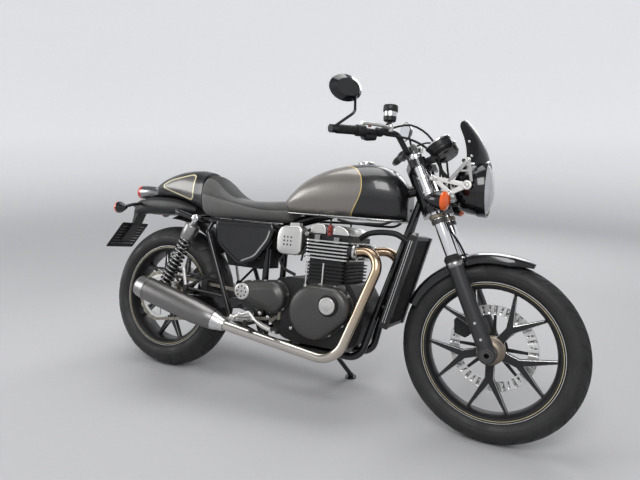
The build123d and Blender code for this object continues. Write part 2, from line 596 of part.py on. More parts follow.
BACKBONE = (on_steering(880), Vector(640, 0, RAIL_HEIGHT + 32), Vector(560, 0, RAIL_HEIGHT))
BACKBONE_BEND = 60.0
with BuildPart() as frame:
    rod(on_steering(HEAD_TUBE_LOW), on_steering(HEAD_TUBE_HIGH), HEAD_TUBE_RADIUS)
    tube(BACKBONE, [BACKBONE_BEND], BACKBONE_RADIUS)
    tube([Vector(582, -RAIL_SPACING / 2, RAIL_HEIGHT), Vector(160, -RAIL_SPACING / 2, RAIL_HEIGHT),
          Vector(20, -RAIL_SPACING / 2, RAIL_HEIGHT + 32), Vector(20, RAIL_SPACING / 2, RAIL_HEIGHT + 32),
          Vector(160, RAIL_SPACING / 2, RAIL_HEIGHT), Vector(582, RAIL_SPACING / 2, RAIL_HEIGHT)],
         [120, 40, 40, 120], TUBE_RADIUS)
    rod((556, -RAIL_SPACING / 2 - 4, RAIL_HEIGHT), (556, RAIL_SPACING / 2 + 4, RAIL_HEIGHT), TUBE_RADIUS - 3)
    for hand in (-1, 1):
        down = hand * DOWNTUBE_SPACING / 2
        base = hand * 72
        tube([Vector(*DOWNTUBE_TOP), Vector(DOWNTUBE_FOOT[0], down, DOWNTUBE_FOOT[1]), Vector(972, base, CRADLE_Z),
              Vector(530, base, CRADLE_Z), Vector(527, hand * 80, RAIL_HEIGHT - 84),
              Vector(545, hand * RAIL_SPACING / 2, RAIL_HEIGHT)], [80, 60, 60, 60], TUBE_RADIUS)
        slab(hand * (PIVOT_WIDTH / 2 + 1), hand * (PIVOT_WIDTH / 2 + 1 + PLATE_WALL),
             [(486, 392), (486, 300), (514, 240), (560, 226), (556, 300), (548, 400), (530, 440)], 8)
        stay_top = Vector(250, hand * (RAIL_SPACING / 2), RAIL_HEIGHT)
        tube([stay_top, Vector(262, hand * 150, RAIL_HEIGHT - 44), Vector(*PEG_ROOT[:1], hand * PEG_ROOT[1], PEG_ROOT[2])],
             [30], 10)
        rod((PEG_ROOT[0], hand * PEG_ROOT[1], PEG_ROOT[2]), (530, hand * 78, CRADLE_Z + 14), 9)
        rod((SHOCK_TOP[0], hand * RAIL_SPACING / 2, SHOCK_TOP[2]), (SHOCK_TOP[0], hand * 172, SHOCK_TOP[2]), SHOCK_PIN)
        hanger = Vector(HANGER[0], hand * HANGER[1], HANGER[2])
        rod(hanger - Vector(0, 9, 0), hanger + Vector(0, 9, 0), HANGER_RADIUS)
        rod((330, hand * 150, 477), hanger, 6)
        rod((383, hand * 150, 372), hanger, 6)
        for height in (60, 250):
            spot = radiator_back(height, 0)
            drop = (DOWNTUBE_TOP[2] - spot.Z) / (DOWNTUBE_TOP[2] - DOWNTUBE_FOOT[1])
            rod(radiator_back(height, down * drop), radiator_back(height, down * drop) - RADIATOR_AHEAD * 46, 7)
        for x in (700, 900):
            slab(hand * 62, hand * 82, [(x - 16, CRADLE_Z), (x - 16, CRANKCASE_FLOOR - CLEAR),
                                        (x + 16, CRANKCASE_FLOOR - CLEAR), (x + 16, CRADLE_Z)])
    rod((530, -76, 250), (530, 76, 250), 12)
    rod((PIVOT_X, -PIVOT_WIDTH / 2 - 8, PIVOT_Z), (PIVOT_X, PIVOT_WIDTH / 2 + 8, PIVOT_Z), PIVOT_SHAFT)
    rod((STAND_X, 72, CRADLE_Z), STAND_PIVOT - STAND_PIN * (STAND_EYE + 12), 13)
    rod(STAND_PIVOT - STAND_PIN * (STAND_EYE + 22), STAND_PIVOT - STAND_PIN * (STAND_EYE + CLEAR), 17)
    rod(STAND_PIVOT - STAND_PIN * (STAND_EYE + 3), STAND_PIVOT + STAND_PIN * (STAND_EYE + 3), STAND_PIN_RADIUS)
    rod(on_steering(HEAD_TUBE_LOW - 5), on_steering(HEAD_TUBE_HIGH + 5), STEM_RADIUS + CLEAR, mode=Mode.SUBTRACT)
keep(frame, "frame")

# Tank and its cap
TANK_FLOOR = RAIL_HEIGHT + 58
TANK_CROWN = TANK_FLOOR + 228
CAP_X = 905.0
# x, height of the floor, half width of the floor, half width at the shoulder, shoulder height, crown height
TANK_SECTIONS = (
    (556, TANK_FLOOR, 52, 58, TANK_FLOOR + 22, TANK_FLOOR + 48),
    (640, TANK_FLOOR, 78, 90, TANK_FLOOR + 64, TANK_FLOOR + 140),
    (770, TANK_FLOOR, 98, 112, TANK_FLOOR + 88, TANK_FLOOR + 203),
    (900, TANK_FLOOR, 108, 127, TANK_FLOOR + 100, TANK_CROWN),
    (1015, TANK_FLOOR, 100, 118, TANK_FLOOR + 104, TANK_CROWN - 13),
    (1098, TANK_FLOOR, 62, 72, TANK_FLOOR + 96, TANK_FLOOR + 134),
)
with BuildPart() as fuel_tank:
    loft([shell_section(*row) for row in TANK_SECTIONS])
    tube(BACKBONE, [BACKBONE_BEND], BACKBONE_RADIUS + CLEAR, mode=Mode.SUBTRACT)
    rod(on_steering(HEAD_TUBE_LOW), on_steering(HEAD_TUBE_HIGH), HEAD_TUBE_RADIUS + 4, mode=Mode.SUBTRACT)
keep(fuel_tank, "fuel_tank")

with BuildPart() as tank_cap:
    rod((CAP_X, 0, TANK_CROWN - 10), (CAP_X, 0, TANK_CROWN + 6), 30)
    rod((CAP_X, 0, TANK_CROWN + 6), (CAP_X, 0, TANK_CROWN + 11), 26)
    add(fuel_tank.part, mode=Mode.SUBTRACT)
keep(tank_cap, "tank_cap")

# Seat and tail
SEAT_FLOOR = RAIL_HEIGHT + TUBE_RADIUS + CLEAR
SEAT_SECTIONS = (
    (198, SEAT_FLOOR, 84, 92, RAIL_HEIGHT + 116, RAIL_HEIGHT + 213),
    (262, SEAT_FLOOR, 94, 106, RAIL_HEIGHT + 102, RAIL_HEIGHT + 166),
    (330, SEAT_FLOOR, 98, 110, RAIL_HEIGHT + 86, RAIL_HEIGHT + 116),
    (420, SEAT_FLOOR, 92, 106, RAIL_HEIGHT + 72, RAIL_HEIGHT + 104),
    (520, SEAT_FLOOR, 78, 92, RAIL_HEIGHT + 68, RAIL_HEIGHT + 110),
    (604, SEAT_FLOOR, 66, 80, RAIL_HEIGHT + 68, RAIL_HEIGHT + 116),
)
with BuildPart() as seat:
    loft([shell_section(*row) for row in SEAT_SECTIONS])
    add(fuel_tank.part, mode=Mode.SUBTRACT)
    tube(BACKBONE, [BACKBONE_BEND], BACKBONE_RADIUS + CLEAR, mode=Mode.SUBTRACT)
keep(seat, "seat")

COWL_SECTIONS = (
    (197.5, RAIL_HEIGHT + 22, 82, 91, RAIL_HEIGHT + 116, RAIL_HEIGHT + 213),
    (110, RAIL_HEIGHT + 58, 74, 84, RAIL_HEIGHT + 116, RAIL_HEIGHT + 230),
    (10, RAIL_HEIGHT + 88, 58, 72, RAIL_HEIGHT + 128, RAIL_HEIGHT + 219),
    (-90, RAIL_HEIGHT + 92, 34, 50, RAIL_HEIGHT + 138, RAIL_HEIGHT + 192),
    (-155, RAIL_HEIGHT + 90, 20, 34, RAIL_HEIGHT + 128, RAIL_HEIGHT + 150),
)
with BuildPart() as tail_cowl:
    loft([shell_section(*row) for row in COWL_SECTIONS])
keep(tail_cowl, "tail_cowl")

TAIL_Z = RAIL_HEIGHT + 76
PLATE_TOP = Vector(-290, 0, TAIL_Z - 124)
PLATE_DOWN = Vector(-0.6, 0, -0.8)
PLATE_BACK = Vector(-0.8, 0, 0.6)
PLATE_HEIGHT = 158.0
PLATE_WIDTH = 180.0
GUARD_RADIUS = REAR_TYRE_RADIUS + 56


def on_plate(down, back):
    """A corner of the number plate's carrier in side view, down the plate and back from its front face."""
    spot = PLATE_TOP + PLATE_DOWN * down + PLATE_BACK * back
    return (spot.X, spot.Z)


with BuildPart() as rear_mudguard:
    slab(-42, 42, [(-288, TAIL_Z - 38), (-232, TAIL_Z - 4), (-60, TAIL_Z), (60, TAIL_Z - 8), (60, TAIL_Z - 29),
                   (-200, TAIL_Z - 31), (-250, TAIL_Z - 56)])
    slab(-20, 20, [(-40, TAIL_Z - 10), (-40, TAIL_Z + 40), (30, TAIL_Z + 40), (30, TAIL_Z - 10)])
    slab(-30, 30, [(-276, TAIL_Z - 36), on_plate(0, -CLEAR), on_plate(110, -CLEAR), on_plate(110, -9),
                   on_plate(4, -11), (-246, TAIL_Z - 48)])
    with BuildSketch(Plane(origin=REAR_AXLE, x_dir=(0, 1, 0), z_dir=(1, 0, 0))):
        with BuildLine():
            ThreePointArc((-76, GUARD_RADIUS - 20), (0, GUARD_RADIUS), (76, GUARD_RADIUS - 20))
            Line((76, GUARD_RADIUS - 20), (73, GUARD_RADIUS - 22))
            ThreePointArc((73, GUARD_RADIUS - 22), (0, GUARD_RADIUS - 3), (-73, GUARD_RADIUS - 22))
            Line((-73, GUARD_RADIUS - 22), (-76, GUARD_RADIUS - 20))
        make_face()
    revolve(axis=Axis(REAR_AXLE, (0, 1, 0)), revolution_arc=52)
    rod((20, 0, REAR_AXLE.Z + GUARD_RADIUS - 3), (20, 0, RAIL_HEIGHT + 32 - TUBE_RADIUS - CLEAR), 10)
    add(tail_cowl.part, mode=Mode.SUBTRACT)
keep(rear_mudguard, "rear_mudguard")

with BuildPart() as number_plate:
    with BuildSketch(Plane(origin=PLATE_TOP, x_dir=(0, 1, 0), z_dir=PLATE_BACK)):
        with Locations((0, PLATE_HEIGHT / 2)):
            RectangleRounded(PLATE_WIDTH, PLATE_HEIGHT, 8)
    extrude(amount=3)
keep(number_plate, "number_plate")

COWL_END = COWL_SECTIONS[-1][0]
with BuildPart() as tail_lamp:
    taper((COWL_END - CLEAR, 0, TAIL_Z + 37), (-288, 0, TAIL_Z + 33),
          [(0, 0), (0, 22), (16, 29), (72, 32), (112, 32), (116, 29), (128, 24), (133, 0)])
    add(tail_cowl.part, mode=Mode.SUBTRACT)
keep(tail_lamp, "tail_lamp")

with BuildPart() as rear_indicators:
    for hand in (-1, 1):
        rod((-236, hand * (42 + CLEAR), TAIL_Z - 24), (-236, hand * 50, TAIL_Z - 24), 10)
        rod((-236, hand * 47, TAIL_Z - 24), (-240, hand * 152, TAIL_Z - 50), 7)
        taper((-214, hand * 165, TAIL_Z - 51), (-268, hand * 165, TAIL_Z - 54),
              [(0, 0), (0, 8), (10, 15), (32, 22), (38, 23), (48, 17), (54, 8), (55, 0)])
keep(rear_indicators, "rear_indicators")

# Swingarm, rear axle and drive
ARM_PLANE = Plane(origin=REAR_AXLE, x_dir=(PIVOT_X, 0, PIVOT_Z - REAR_AXLE.Z),
                  z_dir=(REAR_AXLE.Z - PIVOT_Z, 0, PIVOT_X))
ARM_Y = ARM_SPACING / 2
ARM_INNER = ARM_Y - ARM_WIDTH / 2
ARM_OUTER = ARM_Y + ARM_WIDTH / 2
with BuildPart() as swingarm:
    for hand in (-1, 1):
        with BuildSketch(ARM_PLANE.offset(-ARM_HEIGHT / 2)):
            with BuildLine():
                FilletPolyline((-46, hand * ARM_Y), (326, hand * ARM_Y), (425, hand * 60), (508, hand * 42),
                               radius=[40, 40])
            trace(line_width=ARM_WIDTH)
        extrude(amount=ARM_HEIGHT)
        rod((0, hand * ARM_INNER, REAR_AXLE.Z), (0, hand * ARM_OUTER, REAR_AXLE.Z), 26)
        rod((SHOCK_FOOT[0], hand * ARM_Y, SHOCK_FOOT[2]), (SHOCK_FOOT[0], hand * 172, SHOCK_FOOT[2]), SHOCK_PIN)
    slab(-64, 64, [(384, 322), (384, 364), (414, 366), (414, 324)])
    rod((PIVOT_X, -PIVOT_WIDTH / 2 + CLEAR, PIVOT_Z), (PIVOT_X, PIVOT_WIDTH / 2 - CLEAR, PIVOT_Z), PIVOT_RADIUS)
    rod((PIVOT_X, -PIVOT_WIDTH / 2, PIVOT_Z), (PIVOT_X, PIVOT_WIDTH / 2, PIVOT_Z), PIVOT_SHAFT + CLEAR,
        mode=Mode.SUBTRACT)
    rod((0, SPROCKET_Y - CLEAR, REAR_AXLE.Z), (0, -ARM_INNER - 2, REAR_AXLE.Z), AXLE_RADIUS + 7)
    rod((0, REAR_HUB_FACE + CLEAR, REAR_AXLE.Z), (0, ARM_INNER + 2, REAR_AXLE.Z), AXLE_RADIUS + 7)
    rod((0, -ARM_OUTER - 6, REAR_AXLE.Z), (0, ARM_OUTER + 6, REAR_AXLE.Z), AXLE_RADIUS)
    rod((0, -ARM_OUTER - 8, REAR_AXLE.Z), (0, ARM_OUTER + 8, REAR_AXLE.Z), AXLE_BORE, mode=Mode.SUBTRACT)
keep(swingarm, "swingarm")

with BuildPart() as rear_caliper:
    slab(66, 106, [(40, 430), (64, 392), (108, 384), (128, 404), (112, 442), (66, 458)], 8)
    slab(98, ARM_INNER - CLEAR, [(52, 318), (92, 318), (104, 404), (62, 404)])
    with BuildSketch(side(REAR_HUB_FACE - CALIPER_GAP)):
        with Locations((REAR_AXLE.X, REAR_AXLE.Z)):
            Circle(REAR_DISC_RADIUS + CALIPER_GAP)
    extrude(amount=-(DISC_WALL + 2 * CALIPER_GAP), mode=Mode.SUBTRACT)
keep(rear_caliper, "rear_caliper")

SHOCK_RUN = Vector(*SHOCK_TOP) - Vector(*SHOCK_FOOT)
SPRING_START = 66.0
SPRING_PITCH = 19.0
SPRING_TURNS = 12
COIL_RADIUS = 24.0
DAMPER_RADIUS = 17.0
SPRING_END = SPRING_START + SPRING_PITCH * SPRING_TURNS
with BuildPart() as shocks:
    for hand in (-1, 1):
        foot = Vector(SHOCK_FOOT[0], hand * SHOCK_FOOT[1], SHOCK_FOOT[2])
        top = Vector(SHOCK_TOP[0], hand * SHOCK_TOP[1], SHOCK_TOP[2])
        coils = []
        for turn in range(SPRING_TURNS):
            coil = SPRING_START + turn * SPRING_PITCH
            coils += [(coil, DAMPER_RADIUS), (coil + 5, COIL_RADIUS), (coil + 10, COIL_RADIUS),
                      (coil + 15, DAMPER_RADIUS)]
        taper(foot, top, [(12, 0), (12, 10), (52, 10), (52, 21), (SPRING_START - 2, 21)] + coils
              + [(SPRING_END, 22), (SPRING_END, 31), (SPRING_END + 44, 31), (SPRING_END + 56, 11),
                 (SHOCK_RUN.length - 12, 10), (SHOCK_RUN.length - 12, 0)])
        for eye in (foot, top):
            rod(eye - Vector(0, 12, 0), eye + Vector(0, 12, 0), 16)
            rod(eye - Vector(0, 20, 0), eye + Vector(0, 20, 0), SHOCK_PIN + CLEAR, mode=Mode.SUBTRACT)
keep(shocks, "shocks")

with BuildPart() as chain:
    with BuildSketch(side(CHAIN_Y + CHAIN_WIDTH / 2)):
        rear = (REAR_AXLE.X, REAR_AXLE.Z)
        ahead = (FRONT_SPROCKET_X, PIVOT_Z)
        half = CHAIN_HEIGHT / 2
        belt(rear, REAR_SPROCKET_RADIUS + half, ahead, FRONT_SPROCKET_RADIUS + half)
        belt(rear, REAR_SPROCKET_RADIUS - half, ahead, FRONT_SPROCKET_RADIUS - half, mode=Mode.SUBTRACT)
    extrude(amount=CHAIN_WIDTH)
keep(chain, "chain")



def arm_top(x):
    """The height just above the swingarm's top face at x."""
    slope = (PIVOT_Z - REAR_AXLE.Z) / PIVOT_X
    return REAR_AXLE.Z + slope * x + ARM_HEIGHT / 2 * sqrt(1 + slope**2) + CLEAR


with BuildPart() as chain_guard:
    slab(CHAIN_Y + 11, -ARM_INNER - 4, [(-72, 438), (-74, 446), (60, 454), (330, 430), (330, 422), (60, 444)])
    slab(-ARM_INNER - 1, -ARM_INNER - 4, [(234, arm_top(234)), (266, arm_top(266)), (266, 434), (234, 438)])
keep(chain_guard, "chain_guard")

# Engine
BLOCK_Y = CRANKCASE_WIDTH / 2
with BuildPart() as engine_cases:
    slab(-BLOCK_Y, BLOCK_Y, [(CRANKCASE_BACK, 262), (700, CRANKCASE_FLOOR), (905, CRANKCASE_FLOOR), (960, 262),
                             (CRANKCASE_FRONT, 330), (CRANKCASE_FRONT, 420), (930, CRANKCASE_TOP),
                             (CRANKCASE_BACK, CRANKCASE_TOP)], 14)
    slab(-88, 118, [(GEARBOX_BACK, 330), (604, 262), (700, 262), (700, 478), (600, 478), (GEARBOX_BACK, 430)], 12)
    slab(-50, 50, [(745, 244), (765, 204), (890, 204), (920, 244)])
    rod((FRONT_SPROCKET_X, -80, PIVOT_Z), (FRONT_SPROCKET_X, -106, PIVOT_Z),
        FRONT_SPROCKET_RADIUS - CHAIN_HEIGHT / 2 - CLEAR)
keep(engine_cases, "engine_cases")

with BuildPart() as engine_covers:
    with BuildSketch(side(-BLOCK_Y - CLEAR)):
        belt((805, 374), 102, (874, 400), 76)
    extrude(amount=COVER_DEPTH)
    with BuildSketch(side(-BLOCK_Y - CLEAR)):
        belt((614, 405), 62, (488, 412), 38)
    extrude(amount=COVER_DEPTH - 12)
    with BuildSketch(side(BLOCK_Y + CLEAR + 46)):
        belt((838, 372), 84, (868, 345), 54)
        belt((700, 350), 36, (696, 410), 42)
    extrude(amount=46)
    rims = engine_covers.edges().filter_by(lambda edge: abs(edge.center().Y) > BLOCK_Y + 40)
    fillet(rims, 10)
    rod((874, -BLOCK_Y - COVER_DEPTH + 4, 409), (874, -BLOCK_Y - COVER_DEPTH - 12, 409), 33)
    with BuildSketch(side(-BLOCK_Y - COVER_DEPTH + 16)):
        with Locations((488, 412)):
            Ellipse(23, 31)
    extrude(amount=8)
keep(engine_covers, "engine_covers")

CYLINDER_X = (CYLINDER_FRONT + CYLINDER_BACK) / 2
CYLINDER_LENGTH = CYLINDER_FRONT - CYLINDER_BACK
HEAD_CAP = 670.0
BARREL_FIN_Z = [500 + row * FIN_PITCH for row in range(5)]
HEAD_FIN_Z = [BARREL_TOP + 4 + row * FIN_PITCH for row in range(6)]
with BuildPart() as cylinders:
    with BuildSketch(Plane.XY.offset(CRANKCASE_TOP + CLEAR)):
        with Locations((CYLINDER_X, 0)):
            RectangleRounded(CYLINDER_LENGTH, CYLINDER_WIDTH, 24)
    extrude(amount=HEAD_TOP - CRANKCASE_TOP - CLEAR)
    with BuildSketch(*[Plane.XY.offset(z) for z in BARREL_FIN_Z]):
        with Locations((CYLINDER_X, 0)):
            RectangleRounded(CYLINDER_LENGTH + 1.4 * FIN_REACH, CYLINDER_WIDTH + 1.4 * FIN_REACH, 34)
    extrude(amount=FIN_WALL)
    with BuildSketch(*[Plane.XY.offset(z) for z in HEAD_FIN_Z]):
        with Locations((CYLINDER_X, 0)):
            RectangleRounded(CYLINDER_LENGTH + 2 * FIN_REACH, CYLINDER_WIDTH + 2 * FIN_REACH, 26)
    extrude(amount=FIN_WALL)
    slab(-122, 122, [(732, HEAD_TOP - 4), (732, HEAD_CAP), (906, HEAD_CAP), (906, HEAD_TOP - 4)])
    for hand in (-1, 1):
        rod((885, hand * PORT_SPACING / 2, PORT_Z), (927, hand * PORT_SPACING / 2, PORT_Z), 28)
        rod((745, hand * 40, 610), (718, hand * 40, 610), 26)
keep(cylinders, "cylinders")

with BuildPart() as cam_covers:
    slab(-118, 118, [(736, HEAD_CAP + CLEAR), (740, 702), (752, 708), (794, 708), (804, HEAD_CAP + CLEAR)])
    slab(-118, 118, [(834, HEAD_CAP + CLEAR), (842, 708), (884, 706), (896, 696), (902, HEAD_CAP + CLEAR)])
keep(cam_covers, "cam_covers")

AIRBOX_FRONT = 500.0
with BuildPart() as airbox:
    slab(TUBE_RADIUS + CLEAR - RAIL_SPACING / 2, RAIL_SPACING / 2 - TUBE_RADIUS - CLEAR,
         [(312, 560), (340, 500), (AIRBOX_FRONT, 500), (AIRBOX_FRONT, SEAT_FLOOR - CLEAR),
          (312, SEAT_FLOOR - CLEAR)])
keep(airbox, "airbox")

with BuildPart() as throttle_covers:
    for hand in (-1, 1):
        slab(hand * 96, hand * 148, [(612, 590), (612, 676), (630, 694), (704, 696), (716, 684), (716, 590),
                                     (700, 578), (626, 578)], 8)
        rod((AIRBOX_FRONT + CLEAR, hand * 40, 610), (718 - CLEAR, hand * 40, 610), 22)
    rod((664, -98, 628), (664, 98, 628), 16)
keep(throttle_covers, "throttle_covers")

PANEL_Y = RAIL_SPACING / 2 + TUBE_RADIUS + CLEAR
with BuildPart() as side_panels:
    for hand in (-1, 1):
        slab(hand * PANEL_Y, hand * (PANEL_Y + 24), [(284, RAIL_HEIGHT + 10), (566, RAIL_HEIGHT + 16),
                                                     (578, RAIL_HEIGHT - 20), (506, 536), (424, 506), (300, 580)], 18)
keep(side_panels, "side_panels")

# Exhaust
PIPE_TURN = Vector(*PIPE_END) + (Vector(*PIPE_END) - Vector(*SILENCER_TAIL)).normalized() * 62
with BuildPart() as exhaust_headers:
    for hand in (-1, 1):
        port = Vector(927 + CLEAR, hand * PORT_SPACING / 2, PORT_Z)
        knee = Vector(1062, hand * 140, 640)
        tube([port + (knee - port).normalized() * 7, knee, Vector(912, hand * 178, 203),
              Vector(PIPE_TURN.X, -hand * PIPE_TURN.Y, PIPE_TURN.Z),
              Vector(PIPE_END[0], -hand * PIPE_END[1], PIPE_END[2])], [62, 95, 150], PIPE_RADIUS)
        rod(port, port + Vector(9, 0, 0), PIPE_RADIUS + 12)
keep(exhaust_headers, "exhaust_headers")

SILENCER_LENGTH = (Vector(*PIPE_END) - Vector(*SILENCER_TAIL)).length
with BuildPart() as silencers:
    for hand in (-1, 1):
        start = Vector(PIPE_END[0], -hand * PIPE_END[1], PIPE_END[2])
        end = Vector(SILENCER_TAIL[0], -hand * SILENCER_TAIL[1], SILENCER_TAIL[2])
        taper(start, end, [(CLEAR, 0), (CLEAR, 25), (20, 27), (92, SILENCER_RADIUS), (358, SILENCER_RADIUS),
                           (364, SILENCER_RADIUS - 2), (SILENCER_LENGTH, 41), (SILENCER_LENGTH, 34),
                           (SILENCER_LENGTH - 40, 34), (SILENCER_LENGTH - 40, 0)])
        rod((222, hand * 224, 330), (HANGER[0], hand * HANGER[1], HANGER[2] - HANGER_RADIUS - 4), 9)
keep(silencers, "silencers")

with BuildPart() as radiator:
    foot = Vector(RADIATOR_FOOT[0], 0, RADIATOR_FOOT[1])
    top = Vector(RADIATOR_TOP[0], 0, RADIATOR_TOP[1])
    half = RADIATOR_AHEAD * (RADIATOR_DEPTH / 2)
    corners = [foot - half, foot + half, top + half, top - half]
    slab(-116, 116, [(corner.X, corner.Z) for corner in corners])
    thick = RADIATOR_AHEAD * 5
    corners = [foot - half, foot + half + thick, top + half + thick, top - half]
    for hand in (-1, 1):
        slab(hand * 96, hand * 121, [(corner.X, corner.Z) for corner in corners])
keep(radiator, "radiator")

# Footrests
with BuildPart() as footrests:
    for hand in (-1, 1):
        rod((PEG_ROOT[0], hand * (PEG_ROOT[1] + 10 + CLEAR), PEG_ROOT[2]), (PEG_ROOT[0], hand * 176, PEG_ROOT[2]), 8)
        rod((PEG_ROOT[0], hand * 172, PEG_ROOT[2]), (560, hand * 172, 304), 8)
        rod((560, hand * 164, 304), (560, hand * 256, 308), 11)
        rod((560, hand * 176, 304), (672, hand * 204, 280), 5)
        rod((672, hand * 188, 280), (672, hand * 226, 280), 7)
        peg = Vector(198 - HANGER[0], 0, 478 - HANGER[2]).normalized()
        hanger = Vector(HANGER[0], hand * HANGER[1], HANGER[2])
        rod(hanger + peg * (HANGER_RADIUS + CLEAR), hanger + peg * 88, 8)
keep(footrests, "footrests")

# Lean of the parked machine: both round treads touch the floor, the wider one riding up a little more
TURN = radians(LEAN)
NOSE_DOWN = degrees(asin((REAR_CROWN - FRONT_CROWN) * (1 - cos(TURN)) / (WHEELBASE * cos(TURN))))
RISE = REAR_CROWN * (1 - cos(TURN))
LEANED = Location((0, 0, RISE)) * Location((0, 0, 0), (-LEAN, 0, 0)) * Location((0, 0, 0), (0, NOSE_DOWN, 0))

# Side stand
FLOOR = Plane(LEANED.inverse())
FOOT_AT = Vector(STAND_FOOT[0], STAND_FOOT[1], 0)
FOOT = FOOT_AT + Vector(0, 0, 1) * ((FLOOR.origin - FOOT_AT).dot(FLOOR.z_dir) / FLOOR.z_dir.Z)
FOOT_WALL = 6.0
with BuildPart() as side_stand:
    rod(STAND_PIVOT - STAND_PIN * STAND_EYE, STAND_PIVOT + STAND_PIN * STAND_EYE, 17)
    rod(STAND_PIVOT, FOOT + FLOOR.z_dir * (STAND_LEG_RADIUS + 3), STAND_LEG_RADIUS)
    rod(FOOT, FOOT + FLOOR.z_dir * FOOT_WALL, 24)
    rod(FOOT, FOOT + FLOOR.z_dir * (STAND_LEG_RADIUS + 8), STAND_LEG_RADIUS + 2)
    rod(STAND_PIVOT - STAND_PIN * 40, STAND_PIVOT - STAND_PIN * STAND_EYE, 30, mode=Mode.SUBTRACT)
    rod(STAND_PIVOT + STAND_PIN * STAND_EYE, STAND_PIVOT + STAND_PIN * 40, 12, mode=Mode.SUBTRACT)
    rod(STAND_PIVOT - STAND_PIN * 40, STAND_PIVOT + STAND_PIN * 40, STAND_PIN_RADIUS + 0.1, mode=Mode.SUBTRACT)
keep(side_stand, "side_stand")

# Parked: leaned onto the stand, the origin on the floor below the middle of the whole
extent = Compound([LEANED * piece for piece in PIECES.values()]).bounding_box()
PARKED = Location((-(extent.min.X + extent.max.X) / 2, -(extent.min.Y + extent.max.Y) / 2, 0)) * LEANED
os.makedirs("parts", exist_ok=True)
for label, piece in PIECES.items():
    parked = PARKED * piece
    parked.label = label
    export_step(parked, f"parts/{label}.step")
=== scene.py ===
# %% [markdown]
# A cafe racer motorcycle, dressed for its portrait.
# The solids, their places and their joints were drawn first, in a CAD program, and packed with a physics
# model. This file loads them, gives every surface its finish, and swaps the plain forms for finer ones.
# All lengths handed to Blender are metres. The helpers take millimetres, because a workshop drawing does.

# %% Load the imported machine
import json
from math import acos, atan2, cos, degrees, hypot, pi, radians, sin, sqrt

import bmesh
import bpy
from mathutils import Matrix, Vector


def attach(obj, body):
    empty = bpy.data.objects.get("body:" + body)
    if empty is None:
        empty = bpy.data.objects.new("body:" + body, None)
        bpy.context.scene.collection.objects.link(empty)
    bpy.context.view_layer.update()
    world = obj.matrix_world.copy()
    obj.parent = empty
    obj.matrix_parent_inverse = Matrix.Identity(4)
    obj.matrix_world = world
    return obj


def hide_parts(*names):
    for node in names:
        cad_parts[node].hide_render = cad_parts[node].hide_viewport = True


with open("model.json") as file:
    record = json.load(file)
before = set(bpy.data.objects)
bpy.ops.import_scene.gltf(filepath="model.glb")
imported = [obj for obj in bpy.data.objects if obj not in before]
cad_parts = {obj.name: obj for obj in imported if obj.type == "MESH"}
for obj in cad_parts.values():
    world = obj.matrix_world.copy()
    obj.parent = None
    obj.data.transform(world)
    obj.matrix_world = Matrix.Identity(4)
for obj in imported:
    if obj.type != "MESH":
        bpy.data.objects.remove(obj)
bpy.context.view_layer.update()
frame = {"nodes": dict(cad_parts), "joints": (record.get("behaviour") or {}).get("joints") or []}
NODES = frame["nodes"]

# %% [markdown]
# The machine leans on its side stand, and a leaning drawing is hard to read.
# So every new piece is drawn upright: X forward from the rear axle, Y to the left, Z up from the floor.
# The two axles and the axle direction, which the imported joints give, tell how that drawing leans.

# %% From the upright drawing to the parked machine
JOINTS = {joint["name"]: joint for joint in frame["joints"]}
WHEELBASE, FRONT_RADIUS, REAR_RADIUS = 1435.0, 318.6, 321.0
rear_axle = Vector(JOINTS["rear_wheel"]["pos_m"])
front_axle = Vector(JOINTS["front_wheel"]["pos_m"])
left = Vector(JOINTS["rear_wheel"]["axis"]).normalized()
tilt = atan2(FRONT_RADIUS - REAR_RADIUS, WHEELBASE)
forward = Matrix.Rotation(tilt, 3, left) @ (front_axle - rear_axle).normalized()
up = forward.cross(left).normalized()
turn = Matrix((forward, left, up)).transposed()
PARKED = Matrix.Translation(rear_axle - turn @ Vector((0, 0, REAR_RADIUS / 1000))) @ turn.to_4x4()
UPRIGHT = PARKED.inverted()
print("lean", round(degrees(acos(up.z)), 2), "degrees")


def park(x, y, z):
    """A point of the upright drawing, in millimetres, on the parked machine, in metres."""
    return PARKED @ (Vector((x, y, z)) / 1000)


# %% [markdown]
# A photograph fixes its camera by its perspective: the two wheels, their axles and their contact points
# were matched, which gave the height, the aim and the lens below. The picture was cropped from a larger one,
# so the lens is shifted a little, as on a technical camera.

# %% Camera
FOCAL, CENTRE_X, CENTRE_Y, WIDE, HIGH = 536.87, 303.18, 195.77, 640, 480
camera_data = bpy.data.cameras.new("camera")
camera_data.sensor_width = 36
camera_data.lens = FOCAL * 36 / WIDE
camera_data.shift_x = (WIDE / 2 - CENTRE_X) / WIDE
camera_data.shift_y = (CENTRE_Y - HIGH / 2) / WIDE
camera = bpy.data.objects.new("camera", camera_data)
bpy.context.scene.collection.objects.link(camera)
bpy.context.scene.camera = camera
origin = park(0, 0, 0)
camera.location = (1.6585 + origin.x, -1.8725 + origin.y, 1.0952)
aim = Vector((-sin(radians(26.68)) * cos(radians(7.09)), cos(radians(26.68)) * cos(radians(7.09)),
              -sin(radians(7.09))))
camera.rotation_mode = "QUATERNION"
camera.rotation_quaternion = aim.to_track_quat("-Z", "Y")
camera_data.clip_start, camera_data.clip_end = 0.05, 100
print("lens", round(camera_data.lens, 2), "mm at", [round(v, 3) for v in camera.location])

# %% [markdown]
# A pale bowl, floor and backdrop in one, and a pale world stand in for a studio. Large soft lamps give
# black paint something to reflect: without broad bright panels, gloss black shows as a flat hole.
# The far side of the bowl gets little light, so it glows faintly, and more with distance from the machine.
# The camera, the metal and the glass see that glow, and it adds no light to dull surfaces.

